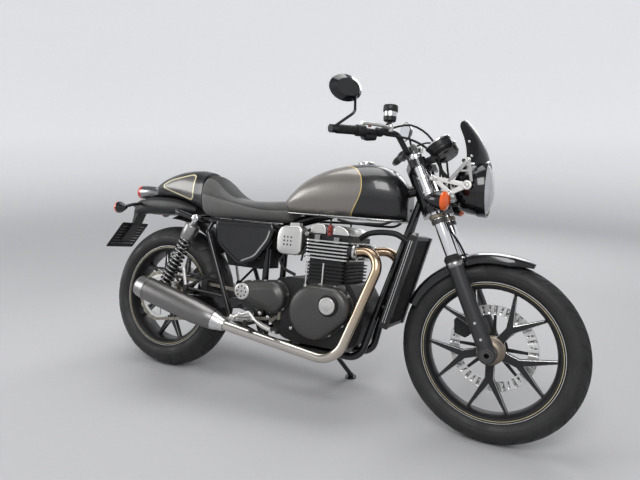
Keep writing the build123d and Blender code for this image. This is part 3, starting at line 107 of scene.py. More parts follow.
# %% Floor and backdrop
FLOOR_RADIUS, SWEEP_RADIUS, WALL_TOP, STEPS, SWEEP_STEPS = 6.0, 3.0, 7.0, 96, 24
FLOOR_GREY, WALL_PALE = (0.48, 0.48, 0.49, 1), (0.92, 0.92, 0.93, 1)
GLOW, GLOW_STARTS, GLOW_FULL = 0.42, 2.2, 7.5
profile = []
for k in range(SWEEP_STEPS + 1):
    turn_up = pi / 2 * k / SWEEP_STEPS
    profile.append((FLOOR_RADIUS + SWEEP_RADIUS * sin(turn_up), SWEEP_RADIUS * (1 - cos(turn_up))))
profile.append((FLOOR_RADIUS + SWEEP_RADIUS, WALL_TOP))
corners, faces = [], [tuple(range(STEPS))]
for radius, height in profile:
    for k in range(STEPS):
        corners.append((radius * cos(2 * pi * k / STEPS), radius * sin(2 * pi * k / STEPS), height))
for level in range(len(profile) - 1):
    for k in range(STEPS):
        low, n = level * STEPS, (k + 1) % STEPS
        faces.append((low + k, low + STEPS + k, low + STEPS + n, low + n))
floor_mesh = bpy.data.meshes.new("studio_sweep")
floor_mesh.from_pydata(corners, [], faces)
for face in floor_mesh.polygons:
    face.use_smooth = True
floor = bpy.data.objects.new("studio_sweep", floor_mesh)
bpy.context.scene.collection.objects.link(floor)
floor_finish = bpy.data.materials.new("studio_floor")
floor_finish.use_nodes = True
nodes, links = floor_finish.node_tree.nodes, floor_finish.node_tree.links
shader = nodes["Principled BSDF"]
shader.inputs["Roughness"].default_value = 0.8
spot = nodes.new("ShaderNodeTexCoord")
split = nodes.new("ShaderNodeSeparateXYZ")
links.new(spot.outputs["Object"], split.inputs["Vector"])
paleness = nodes.new("ShaderNodeValToRGB")
for stop, (height, grey) in zip(paleness.color_ramp.elements, ((0.0, FLOOR_GREY), (1.0, WALL_PALE))):
    stop.position, stop.color = height, grey
links.new(split.outputs["Z"], paleness.inputs["Fac"])
links.new(paleness.outputs["Color"], shader.inputs["Base Color"])
away = nodes.new("ShaderNodeVectorMath")
away.operation = "LENGTH"
links.new(spot.outputs["Object"], away.inputs[0])
rise = nodes.new("ShaderNodeMapRange")
rise.inputs["From Min"].default_value, rise.inputs["From Max"].default_value = GLOW_STARTS, GLOW_FULL
rise.inputs["To Min"].default_value, rise.inputs["To Max"].default_value = 0.0, GLOW
links.new(away.outputs["Value"], rise.inputs["Value"])
eye = nodes.new("ShaderNodeLightPath")
watched = eye.outputs["Is Camera Ray"]
for ray in ("Is Glossy Ray", "Is Transmission Ray"):
    either = nodes.new("ShaderNodeMath")
    either.operation = "MAXIMUM"
    links.new(watched, either.inputs[0])
    links.new(eye.outputs[ray], either.inputs[1])
    watched = either.outputs["Value"]
seen = nodes.new("ShaderNodeMath")
seen.operation = "MULTIPLY"
links.new(rise.outputs["Result"], seen.inputs[0])
links.new(watched, seen.inputs[1])
links.new(seen.outputs["Value"], shader.inputs["Emission Strength"])
shader.inputs["Emission Color"].default_value = (0.97, 0.98, 1.0, 1)
floor.data.materials.append(floor_finish)
print("sweep of", len(faces), "faces")

# %% [markdown]
# Four square lamps light the machine: a key from the front right, one overhead, a fill from behind on the
# right, and a rim lamp on the left. Each is wide, so its edge in the paint is soft.

# %% Studio light
world = bpy.data.worlds.new("studio")
bpy.context.scene.world = world
world.use_nodes = True
sky = world.node_tree.nodes["Background"]
sky.inputs["Color"].default_value = (0.80, 0.82, 0.85, 1)
sky.inputs["Strength"].default_value = 0.36
bpy.context.scene.view_settings.view_transform = "Standard"


def soft_lamp(name, spot, target, size, watts):
    """A square lamp at a spot, aimed at a target, all in metres."""
    data = bpy.data.lights.new(name, "AREA")
    data.shape, data.size, data.energy = "SQUARE", size, watts
    lamp = bpy.data.objects.new(name, data)
    lamp.location = spot
    lamp.rotation_mode = "QUATERNION"
    lamp.rotation_quaternion = (Vector(target) - Vector(spot)).to_track_quat("-Z", "Y")
    bpy.context.scene.collection.objects.link(lamp)


soft_lamp("key", (1.2, -3.2, 3.4), (0.1, 0, 0.5), 2.0, 105)
soft_lamp("overhead", (-0.4, 0.4, 3.6), (-0.1, 0, 0.6), 2.6, 66)
soft_lamp("fill", (-3.2, -1.8, 1.8), (0, 0, 0.5), 1.6, 36)
soft_lamp("rim", (0.6, 3.2, 2.4), (0, 0, 0.6), 2.0, 46)

# %% [markdown]
# Paint, cast metal, rubber and suede differ in three things a camera sees: how much light they mirror,
# how sharp that mirror is, and the small unevenness on top. One helper builds all three from noise that is
# fixed in space. It turns the parked coordinates upright first, so a brushed streak runs along the pipe
# and not along the room.

# %% Finish helper
def finish(name, colour, metallic=0.0, roughness=0.4, coat=0.0, mottle=0.08, grain=0.0, grain_size=0.0015,
           streak=None, sheen=0.0, shine=0.5):
    """A finish with a mottled colour, an uneven gloss and a fine grain; sizes in metres."""
    material = bpy.data.materials.new(name)
    material.use_nodes = True
    nodes, links = material.node_tree.nodes, material.node_tree.links
    shader = nodes["Principled BSDF"]
    shader.inputs["Metallic"].default_value = metallic
    shader.inputs["Specular IOR Level"].default_value = shine
    shader.inputs["Coat Weight"].default_value = coat
    shader.inputs["Coat Roughness"].default_value = 0.04
    shader.inputs["Sheen Weight"].default_value = sheen
    place = nodes.new("ShaderNodeTexCoord")
    upright = nodes.new("ShaderNodeMapping")
    upright.name = "upright"
    upright.inputs["Location"].default_value = UPRIGHT.to_translation()
    upright.inputs["Rotation"].default_value = UPRIGHT.to_euler("XYZ")
    links.new(place.outputs["Object"], upright.inputs["Vector"])
    stretch = nodes.new("ShaderNodeMapping")
    stretch.inputs["Scale"].default_value = streak or (1, 1, 1)
    links.new(upright.outputs["Vector"], stretch.inputs["Vector"])
    cloud = nodes.new("ShaderNodeTexNoise")
    cloud.inputs["Scale"].default_value = 14 if streak is None else 1
    cloud.inputs["Detail"].default_value = 5
    links.new(stretch.outputs["Vector"], cloud.inputs["Vector"])
    shade = nodes.new("ShaderNodeMix")
    shade.name = "shade"
    shade.data_type = "RGBA"
    shade.inputs["A"].default_value = (*[c * (1 - mottle) for c in colour], 1)
    shade.inputs["B"].default_value = (*[min(1, c * (1 + mottle)) for c in colour], 1)
    links.new(cloud.outputs["Fac"], shade.inputs["Factor"])
    links.new(shade.outputs["Result"], shader.inputs["Base Color"])
    gloss = nodes.new("ShaderNodeMapRange")
    gloss.inputs["From Min"].default_value, gloss.inputs["From Max"].default_value = 0.3, 0.7
    gloss.inputs["To Min"].default_value = roughness * (1 - 1.5 * mottle)
    gloss.inputs["To Max"].default_value = min(1, roughness * (1 + 1.5 * mottle))
    links.new(cloud.outputs["Fac"], gloss.inputs["Value"])
    links.new(gloss.outputs["Result"], shader.inputs["Roughness"])
    if grain:
        fine = nodes.new("ShaderNodeTexNoise")
        fine.inputs["Scale"].default_value = 1 / grain_size
        fine.inputs["Detail"].default_value = 3
        links.new(upright.outputs["Vector"], fine.inputs["Vector"])
        bump = nodes.new("ShaderNodeBump")
        bump.inputs["Strength"].default_value = grain
        bump.inputs["Distance"].default_value = grain_size * 0.4
        links.new(fine.outputs["Fac"], bump.inputs["Height"])
        links.new(bump.outputs["Normal"], shader.inputs["Normal"])
    return material


# %% [markdown]
# The finishes of this machine, named as a painter's shelf would name them. Cast parts get a fine grain,
# paint gets a clear coat, and brushed steel gets streaks along X by stretching the noise.

# %% The shelf of finishes
gloss_black = finish("gloss_black", (0.004, 0.004, 0.005), roughness=0.16, coat=0.6, shine=0.3)
frame_black = finish("frame_black", (0.005, 0.005, 0.006), roughness=0.24, coat=0.5, shine=0.3)
satin_black = finish("satin_black", (0.009, 0.009, 0.010), roughness=0.40, grain=0.15, shine=0.4)
rough_black = finish("rough_black", (0.009, 0.009, 0.010), roughness=0.6, grain=0.35, grain_size=0.0009,
                     shine=0.3)
fork_grey = finish("fork_grey", (0.045, 0.045, 0.047), metallic=0.55, roughness=0.4, grain=0.12)
cast_grey = finish("cast_grey", (0.075, 0.073, 0.071), metallic=0.65, roughness=0.40, grain=0.3,
                   grain_size=0.001)
cast_dark = finish("cast_dark", (0.014, 0.014, 0.015), metallic=0.4, roughness=0.46, grain=0.35,
                   grain_size=0.0012)
bright_edge = finish("bright_edge", (0.62, 0.62, 0.61), metallic=1.0, roughness=0.28, streak=(90, 90, 90))
brushed_alloy = finish("brushed_alloy", (0.60, 0.59, 0.57), metallic=1.0, roughness=0.34,
                       streak=(25, 900, 900), mottle=0.12)
chrome = finish("chrome", (0.80, 0.80, 0.82), metallic=1.0, roughness=0.07, mottle=0.03)
satin_steel = finish("satin_steel", (0.30, 0.295, 0.29), metallic=1.0, roughness=0.32,
                     streak=(12, 600, 600))
disc_steel = finish("disc_steel", (0.72, 0.72, 0.70), metallic=0.9, roughness=0.34, mottle=0.08)
tyre_rubber = finish("tyre_rubber", (0.015, 0.015, 0.015), roughness=0.6, grain=0.3, grain_size=0.0016,
                     mottle=0.2, shine=0.45)
soft_rubber = finish("soft_rubber", (0.008, 0.008, 0.008), roughness=0.55, grain=0.3, shine=0.35)
seat_suede = finish("seat_suede", (0.062, 0.060, 0.058), roughness=0.88, grain=0.55, grain_size=0.0011,
                    sheen=0.35, mottle=0.22)
hub_bronze = finish("hub_bronze", (0.24, 0.20, 0.16), metallic=0.9, roughness=0.4, mottle=0.15)
gold_line = finish("gold_line", (0.66, 0.57, 0.32), roughness=0.35)
dark_red = finish("dark_red", (0.20, 0.018, 0.015), roughness=0.35)
orange_lens = finish("orange_lens", (0.80, 0.11, 0.006), roughness=0.14, coat=0.6)
red_lens = finish("red_lens", (0.55, 0.012, 0.010), roughness=0.14, coat=0.8)
clear_lens = finish("clear_lens", (0.94, 0.95, 0.97), roughness=0.05, mottle=0.02)
clear_lens.node_tree.nodes["Principled BSDF"].inputs["Transmission Weight"].default_value = 0.65
mirror_glass = finish("mirror_glass", (0.75, 0.77, 0.80), metallic=1.0, roughness=0.03, mottle=0.01)
plate_white = finish("plate_white", (0.50, 0.50, 0.50), roughness=0.4)
chain_steel = finish("chain_steel", (0.30, 0.28, 0.24), metallic=0.9, roughness=0.38, mottle=0.2)
dial_black = finish("dial_black", (0.01, 0.01, 0.012), roughness=0.5)
dial_white = finish("dial_white", (0.70, 0.70, 0.68), roughness=0.5)
print(len(bpy.data.materials), "finishes")

# %% [markdown]
# The pipes leave the engine straw and bronze, where the exhaust heat has coloured the steel, and fade to
# plain grey steel along the run. Distance from the ports tells how hot the pipe was.

# %% Heat on the pipes
pipe_steel = finish("pipe_steel", (0.52, 0.48, 0.43), metallic=1.0, roughness=0.22, mottle=0.04)
nodes, links = pipe_steel.node_tree.nodes, pipe_steel.node_tree.links
port_distance = nodes.new("ShaderNodeVectorMath")
port_distance.operation = "DISTANCE"
port_distance.inputs[1].default_value = (0.98, 0, 0.66)
links.new(nodes["upright"].outputs["Vector"], port_distance.inputs[0])
heat = nodes.new("ShaderNodeValToRGB")
heat.color_ramp.elements[0].position, heat.color_ramp.elements[0].color = 0.12, (0.36, 0.22, 0.12, 1)
heat.color_ramp.elements[1].position, heat.color_ramp.elements[1].color = 0.55, (0.55, 0.53, 0.50, 1)
for spot, tint in ((0.2, (0.48, 0.33, 0.19, 1)), (0.34, (0.56, 0.46, 0.34, 1))):
    heat.color_ramp.elements.new(spot).color = tint
links.new(port_distance.outputs["Value"], heat.inputs["Fac"])
tinted = nodes.new("ShaderNodeMix")
tinted.data_type, tinted.blend_type = "RGBA", "MIX"
tinted.inputs["Factor"].default_value = 0.75
links.new(nodes["shade"].outputs["Result"], tinted.inputs["A"])
links.new(heat.outputs["Color"], tinted.inputs["B"])
links.new(tinted.outputs["Result"], nodes["Principled BSDF"].inputs["Base Color"])
print("heat tint over", len(heat.color_ramp.elements), "steps")

# %% [markdown]
# Where a solid's shape is already right it only needs its finish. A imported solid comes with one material
# slot per node, so the finish simply goes into it.

# %% Finishes on the solids that stay
STAYING = {
    "fork_lowers": fork_grey, "fork_tubes": chrome, "yokes": frame_black, "handlebar": satin_black,
    "grips": soft_rubber, "hand_controls": satin_black, "mirrors": gloss_black, "headlamp": gloss_black,
    "headlamp_lens": clear_lens, "headlamp_brackets": satin_black, "fly_screen": gloss_black,
    "instruments": satin_black, "front_caliper": cast_dark, "front_mudguard": gloss_black,
    "front_indicators": satin_black, "frame": frame_black, "tank_cap": chrome,
    "rear_mudguard": satin_black, "number_plate": plate_white, "tail_lamp": red_lens,
    "rear_indicators": satin_black, "swingarm": frame_black, "rear_caliper": cast_dark, "shocks": chrome,
    "chain": chain_steel, "chain_guard": satin_black, "engine_cases": cast_dark,
    "engine_covers": cast_grey, "cylinders": cast_dark, "cam_covers": brushed_alloy,
    "airbox": rough_black, "throttle_covers": brushed_alloy, "side_panels": gloss_black,
    "exhaust_headers": pipe_steel, "silencers": satin_steel, "radiator": rough_black,
    "footrests": brushed_alloy, "side_stand": frame_black, "front_disc": disc_steel,
    "rear_disc": disc_steel, "rear_sprocket": disc_steel, "fuel_tank": gloss_black, "seat": seat_suede,
    "tail_cowl": gloss_black, "front_tyre": tyre_rubber, "rear_tyre": tyre_rubber,
    "front_wheel": satin_black, "rear_wheel": satin_black,
}
for node, paint in STAYING.items():
    solid = NODES[node]
    solid.data.materials.clear()
    solid.data.materials.append(paint)
print("finished", len(STAYING), "of", len(NODES), "solids")

# %% [markdown]
# New pieces are drawn as corners and faces. A small drawing class keeps them together: it can skin a row of
# rings, turn an outline on an axis, push a flat outline across the machine, and lay a tube along a route.
# At the end it welds the corners, turns the faces outwards, and hands back one object at the origin.

# %% A class to draw with
class Form:
    """A piece being drawn: corners in upright millimetres, faces, and the finish of each face."""

    def __init__(self):
        self.corners, self.faces, self.paints, self.finishes = [], [], [], []

    def skin(self, rings, paint, closed=True, loop=False):
        """Faces between rings of equally many corners, with flat ends or closed on themselves."""
        base, count = len(self.corners), len(rings[0])
        for ring in rings:
            self.corners += [tuple(corner) for corner in ring]
        if paint not in self.finishes:
            self.finishes.append(paint)
        number = self.finishes.index(paint)
        steps = len(rings) if loop else len(rings) - 1
        for step in range(steps):
            one, two = base + step * count, base + (step + 1) % len(rings) * count
            for k in range(count):
                n = (k + 1) % count
                self.faces.append((one + k, one + n, two + n, two + k))
        if closed and not loop:
            self.faces.append(tuple(range(base + count - 1, base - 1, -1)))
            self.faces.append(tuple(range(base + (len(rings) - 1) * count, base + len(rings) * count)))
        self.paints += [number] * (len(self.faces) - len(self.paints))
        return self

    def lathe(self, start, end, outline, paint, steps=40, loop=False):
        """A turned shape on the line from start to end, its outline given as (distance, radius)."""
        start, along = Vector(start), (Vector(end) - Vector(start)).normalized()
        side = along.cross(Vector((0, 0, 1)) if abs(along.z) < 0.9 else Vector((1, 0, 0))).normalized()
        out = side.cross(along)
        rings = []
        for distance, radius in outline:
            rings.append([start + along * distance + (side * cos(2 * pi * k / steps)
                                                      + out * sin(2 * pi * k / steps)) * radius
                          for k in range(steps)])
        return self.skin(rings, paint, closed=not loop, loop=loop)

    def block(self, outline, y_from, y_to, paint):
        """A flat outline of (x, z) corners, pushed across the machine from one y to another."""
        return self.skin([[(x, y, z) for x, z in outline] for y in (y_from, y_to)], paint)

    def tube(self, route, radius, paint, steps=16):
        """A round tube along a route of points."""
        route = [Vector(spot) for spot in route]
        rings, side = [], None
        for k, spot in enumerate(route):
            along = (route[min(k + 1, len(route) - 1)] - route[max(k - 1, 0)]).normalized()
            if side is None:
                side = along.cross(Vector((0, 0, 1)) if abs(along.z) < 0.9
                                   else Vector((0, 1, 0))).normalized()
            side = (side - along * side.dot(along)).normalized()
            out = along.cross(side)
            rings.append([spot + (side * cos(2 * pi * n / steps) + out * sin(2 * pi * n / steps)) * radius
                          for n in range(steps)])
        return self.skin(rings, paint)

    def build(self, name, body, *replaced, bevel=0.0, levels=0, crease=38):
        """The finished object, riding on its body and standing for the replaced solids."""
        mesh = bpy.data.meshes.new(name)
        mesh.from_pydata(self.corners, [], self.faces)
        for paint in self.finishes:
            mesh.materials.append(paint)
        mesh.polygons.foreach_set("material_index", self.paints)
        work = bmesh.new()
        work.from_mesh(mesh)
        bmesh.ops.remove_doubles(work, verts=work.verts, dist=0.01)
        bmesh.ops.recalc_face_normals(work, faces=work.faces)
        for face in work.faces:
            face.smooth = True
        for edge in work.edges:
            sharp = len(edge.link_faces) == 2 and edge.calc_face_angle(0) > radians(crease)
            edge.smooth = not (sharp and not bevel and not levels)
        work.to_mesh(mesh)
        work.free()
        mesh.transform(PARKED @ Matrix.Scale(0.001, 4))
        piece = bpy.data.objects.new(name, mesh)
        bpy.context.scene.collection.objects.link(piece)
        if bevel:
            rounding = piece.modifiers.new("rounding", "BEVEL")
            rounding.width, rounding.segments, rounding.limit_method = bevel / 1000, 2, "ANGLE"
            rounding.angle_limit = radians(crease)
            piece.modifiers.new("normals", "WEIGHTED_NORMAL")
        if levels:
            smoother = piece.modifiers.new("smoother", "SUBSURF")
            smoother.levels = smoother.render_levels = levels
        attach(piece, body)
        for node in replaced:
            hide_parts(node)
        print(name, len(mesh.polygons), "faces")
        return piece


def plug(radius, end, start=0):
    """The outline of a plain solid disc or pin, from one distance to another."""
    return [(start, 0.1), (start, radius), (end, radius), (end, 0.1)]


def sleeve(inner, outer, end, start=0):
    """The outline of a plain ring round a hole, for a lathe that loops."""
    return [(start, inner), (start, outer), (end, outer), (end, inner)]


def blend_rows(rows, count):
    """More rows between the given ones, on a smooth curve through them (each row a tuple of numbers)."""
    made = []
    for step in range(count + 1):
        place = step / count * (len(rows) - 1)
        k = min(int(place), len(rows) - 2)
        t = place - k
        around = [rows[max(0, min(len(rows) - 1, k + n))] for n in (-1, 0, 1, 2)]
        made.append(tuple(0.5 * (2 * b + (c - a) * t + (2 * a - 5 * b + 4 * c - d) * t * t
                                 + (3 * b - a - 3 * c + d) * t ** 3) for a, b, c, d in zip(*around)))
    return made


print("drawing class ready")

# %% [markdown]
# The tank is two pressed steel shells with soft shoulders, and paint that changes from graphite to black
# along a slanting gold line. The sections below run from the seat to the steering head: a flat floor, sides
# that lean out to the shoulder, and a crown. Blending between them on a smooth curve gives the long surface
# a mirror can follow without a break.

# %% Tank surface
# x, floor height, half width at the floor, half width at the shoulder,
# shoulder height, crown height, roundness
TANK_ROWS = (
    (558, 744, 40, 46, 762, 784, 0.55),
    (600, 743, 66, 74, 788, 836, 0.6),
    (660, 742, 82, 94, 812, 892, 0.66),
    (740, 742, 94, 108, 828, 934, 0.72),
    (820, 742, 103, 119, 838, 957, 0.76),
    (900, 742, 108, 127, 843, 968, 0.8),
    (970, 742, 106, 125, 846, 966, 0.8),
    (1030, 742, 96, 113, 845, 947, 0.76),
    (1075, 744, 76, 92, 838, 908, 0.66),
    (1098, 748, 52, 64, 828, 872, 0.55),
)
TANK_STEPS, TANK_AROUND = 72, 64


def shell_ring(x, floor, half_floor, half_side, side_z, crown, roundness, count):
    """A closed ring of corners round one section: from the floor out, up the side and over the crown."""
    ring = []
    for k in range(count):
        turn = 2 * pi * k / count - pi / 2
        across, up = cos(turn), sin(turn)
        if up >= 0:
            power = 2 / (2 + roundness * 0.6)
            y = half_side * abs(across) ** power * (1 if across > 0 else -1)
            z = side_z + (crown - side_z) * abs(up) ** power
        else:
            power = 0.42
            y = abs(across) ** power * (1 if across > 0 else -1)
            drop = abs(up) ** 0.75
            y *= half_side + (half_floor - half_side) * drop
            z = side_z + (floor - side_z) * drop
        ring.append((x, y, z))
    return ring


tank_rings = [shell_ring(*row, TANK_AROUND) for row in blend_rows(TANK_ROWS, TANK_STEPS)]
print(len(tank_rings), "rings round the tank")

# %% [markdown]
# The paint line is drawn in the finish and not in the mesh. Seen from the side it starts at the cap, runs
# forward over the shoulder and slants back down to the seam. A signed distance from that bent line picks
# graphite behind it, black in front, and gold in a band of a little over three millimetres.

# %% Two-colour tank paint
def two_tone(name, corners, inside, outside, line, width, metal=0.6, **look):
    """Paint that changes colour where a convex side-view outline is crossed, with a thin line on it."""
    look = look or {"roughness": 0.34, "coat": 0.6, "mottle": 0.05, "grain": 0.05, "grain_size": 0.0008}
    material = finish(name, inside, metallic=metal, **look)
    nodes, links = material.node_tree.nodes, material.node_tree.links
    shader = nodes["Principled BSDF"]
    split = nodes.new("ShaderNodeSeparateXYZ")
    links.new(nodes["upright"].outputs["Vector"], split.inputs["Vector"])

    def number(operation, *values):
        node = nodes.new("ShaderNodeMath")
        node.operation = operation
        for socket, value in zip(node.inputs, values):
            if isinstance(value, (int, float)):
                socket.default_value = value
            else:
                links.new(value, socket)
        return node.outputs[0]

    edge = None
    for (x1, z1), (x2, z2) in zip(corners, corners[1:]):
        run = hypot(x2 - x1, z2 - z1)
        a, b = (z1 - z2) / run, (x2 - x1) / run
        far = number("ADD", number("MULTIPLY", split.outputs["X"], a),
                     number("MULTIPLY", split.outputs["Z"], b))
        far = number("SUBTRACT", far, (a * x1 + b * z1) / 1000)
        edge = far if edge is None else number("SMOOTH_MAX", edge, far, 0.012)
    within = number("LESS_THAN", edge, 0.0)
    band = number("LESS_THAN", number("ABSOLUTE", edge), width / 2000)
    for fac, colour in ((within, None), (band, line)):
        mix = nodes.new("ShaderNodeMix")
        mix.data_type = "RGBA"
        links.new(fac, mix.inputs["Factor"])
        before = shader.inputs["Base Color"].links[0].from_socket
        if colour is None:
            mix.inputs["A"].default_value = (*outside, 1)
            links.new(before, mix.inputs["B"])
        else:
            links.new(before, mix.inputs["A"])
            mix.inputs["B"].default_value = (*colour, 1)
        links.new(mix.outputs["Result"], shader.inputs["Base Color"])
    metal = number("MULTIPLY", number("SUBTRACT", within, number("MULTIPLY", band, 0.5)), metal)
    links.new(metal, shader.inputs["Metallic"])
    return material


TANK_LINE = ((700, 951), (790, 958), (856, 956), (903, 940), (931, 908), (940, 864), (931, 822), (905, 777),
             (873, 722))
tank_paint = two_tone("tank_paint", TANK_LINE, (0.23, 0.215, 0.195), (0.004, 0.004, 0.005),
                      (0.66, 0.48, 0.17), 3.4)
print("tank paint changes along", len(TANK_LINE), "corners")

# %% [markdown]
# Below the paint the two shells meet in a rolled seam, a bright lip that shows as a thin silver line just
# above the floor of the tank.

# %% Tank
tank = Form().skin(tank_rings, tank_paint)
seam_route = []
for row in blend_rows(TANK_ROWS, 40)[2:-2]:
    seam_route.append((row[0], -row[2] - 3, row[1] + 5))
for hand in (-1, 1):
    tank.tube([(x, y * -hand, z) for x, y, z in seam_route], 2.6, bright_edge, steps=10)
tank.build("tank", "chassis", "fuel_tank")

# %% [markdown]
# The filler cap is a turned and chromed disc: a low skirt, a groove, and a flat lid with a hinge lug.

# %% Filler cap
cap = Form()
cap.lathe((905, 0, 958), (905, 0, 1000), [(0, 0.1), (0, 37), (7, 38), (9, 36), (10, 33), (12, 33), (13, 36),
                                          (19, 35), (22, 31), (23, 24), (23.4, 0.1)], chrome, steps=64)
cap.block([(868, 960), (880, 960), (880, 977), (870, 974)], -9, 9, chrome)
cap.build("filler_cap", "chassis", "tank_cap", bevel=0.8)

# %% [markdown]
# Behind the seat sits a painted hump with a grey panel on each side, outlined in cream. It is skinned the
# same way as the tank; the panel is again drawn in the paint, as the inside of an outline of straight edges.

# %% Tail hump
COWL_ROWS = (
    (162, 712, 80, 91, 800, 906, 0.7),
    (140, 728, 77, 87, 800, 911, 0.7),
    (110, 742, 74, 84, 802, 914, 0.7),
    (50, 762, 65, 77, 808, 911, 0.68),
    (-20, 774, 52, 66, 816, 898, 0.64),
    (-90, 776, 36, 52, 820, 872, 0.6),
    (-135, 775, 25, 39, 816, 846, 0.5),
    (-152, 776, 17, 28, 812, 830, 0.4),
)
COWL_PANEL = ((-92, 822), (-96, 834), (-50, 860), (0, 872), (86, 890), (106, 880), (108, 786), (94, 772),
              (-92, 822))
cowl_paint = two_tone("cowl_paint", COWL_PANEL, (0.14, 0.134, 0.125), (0.004, 0.004, 0.005),
                      (0.70, 0.64, 0.42), 6.0)
cowl_rings = [shell_ring(*row, 56) for row in blend_rows(COWL_ROWS, 44)]
cowl = Form().skin(cowl_rings, cowl_paint)
cowl.build("tail_hump", "chassis", "tail_cowl")

# %% [markdown]
# The seat is foam under a suede-like cover, cut from a top panel and two side panels. The seam between them
# starts high beside the hump and runs forward and down to the tank. The foam pushes both panels out and the
# seam holds them in, so the sections get a shallow pinch where the seam passes. A black strip runs down the
# middle of the seat's rise, in front of the hump. It is picked face by face.

# %% Padded seat
SEAT_ROWS = (
    (163, 716, 78, 90, 802, 884, 0.7),
    (180, 706, 85, 97, 800, 894, 0.7),
    (205, 702, 89, 101, 796, 890, 0.7),
    (240, 700, 92, 104, 790, 870, 0.7),
    (280, 700, 95, 108, 780, 834, 0.7),
    (330, 700, 97, 110, 768, 804, 0.7),
    (390, 700, 95, 108, 760, 790, 0.7),
    (460, 700, 88, 101, 754, 789, 0.7),
    (540, 702, 76, 90, 752, 795, 0.7),
    (590, 706, 66, 80, 752, 799, 0.65),
    (606, 716, 54, 70, 754, 790, 0.55),
)
SEAM = ((163, 805), (313, 776), (400, 761), (477, 751), (540, 751), (606, 758))


def seam_height(x):
    """How high the side seam of the seat runs at x."""
    for (x1, z1), (x2, z2) in zip(SEAM, SEAM[1:]):
        if x <= x2:
            break
    return z1 + (z2 - z1) * max(0, min(1, (x - x1) / (x2 - x1)))


SEAT_STEPS, SEAT_AROUND, SEAM_REACH, SEAM_PINCH = 60, 72, 9, 4.5
STRIP_FRONT, STRIP_SHARE, STRIP_BOTTOM = 345, 0.66, 780
seat_rings = []
for row in blend_rows(SEAT_ROWS, SEAT_STEPS):
    ring = []
    for x, y, z in shell_ring(*row, SEAT_AROUND):
        near_seam = max(0, 1 - abs(z - seam_height(x)) / SEAM_REACH)
        y -= (1 if y > 0 else -1) * SEAM_PINCH * near_seam ** 2 * (abs(y) > row[3] * 0.6)
        ring.append((x, y, z))
    seat_rings.append(ring)
seat_cover = two_tone("seat_cover", tuple(reversed(SEAM)), (0.060, 0.058, 0.056), (0.115, 0.112, 0.108),
                      (0.02, 0.02, 0.02), 2.0, metal=0.0, roughness=0.7, mottle=0.2, grain=0.5,
                      grain_size=0.0011, sheen=0.25)
hump_black = finish("hump_black", (0.006, 0.006, 0.006), roughness=0.5, grain=0.4, shine=0.4)
seat_pad = Form().skin(seat_rings, seat_cover)
seat_pad.finishes.append(hump_black)
for step, ring in enumerate(seat_rings[:-1]):
    half_side = max(y for x, y, z in ring)
    for k, (x, y, z) in enumerate(ring):
        if x < STRIP_FRONT and abs(y) < half_side * STRIP_SHARE and z > STRIP_BOTTOM:
            seat_pad.paints[step * len(ring) + k] = 1
seat_pad.build("padded_seat", "chassis", "seat", levels=1)

# %% [markdown]
# A row of stitches follows the seam on each side. Geometry Nodes walk the seam curve at equal steps and set
# one small stitch at each point, turned along the curve. Realize Instances makes the row into one mesh,
# which is then kept as a plain object.

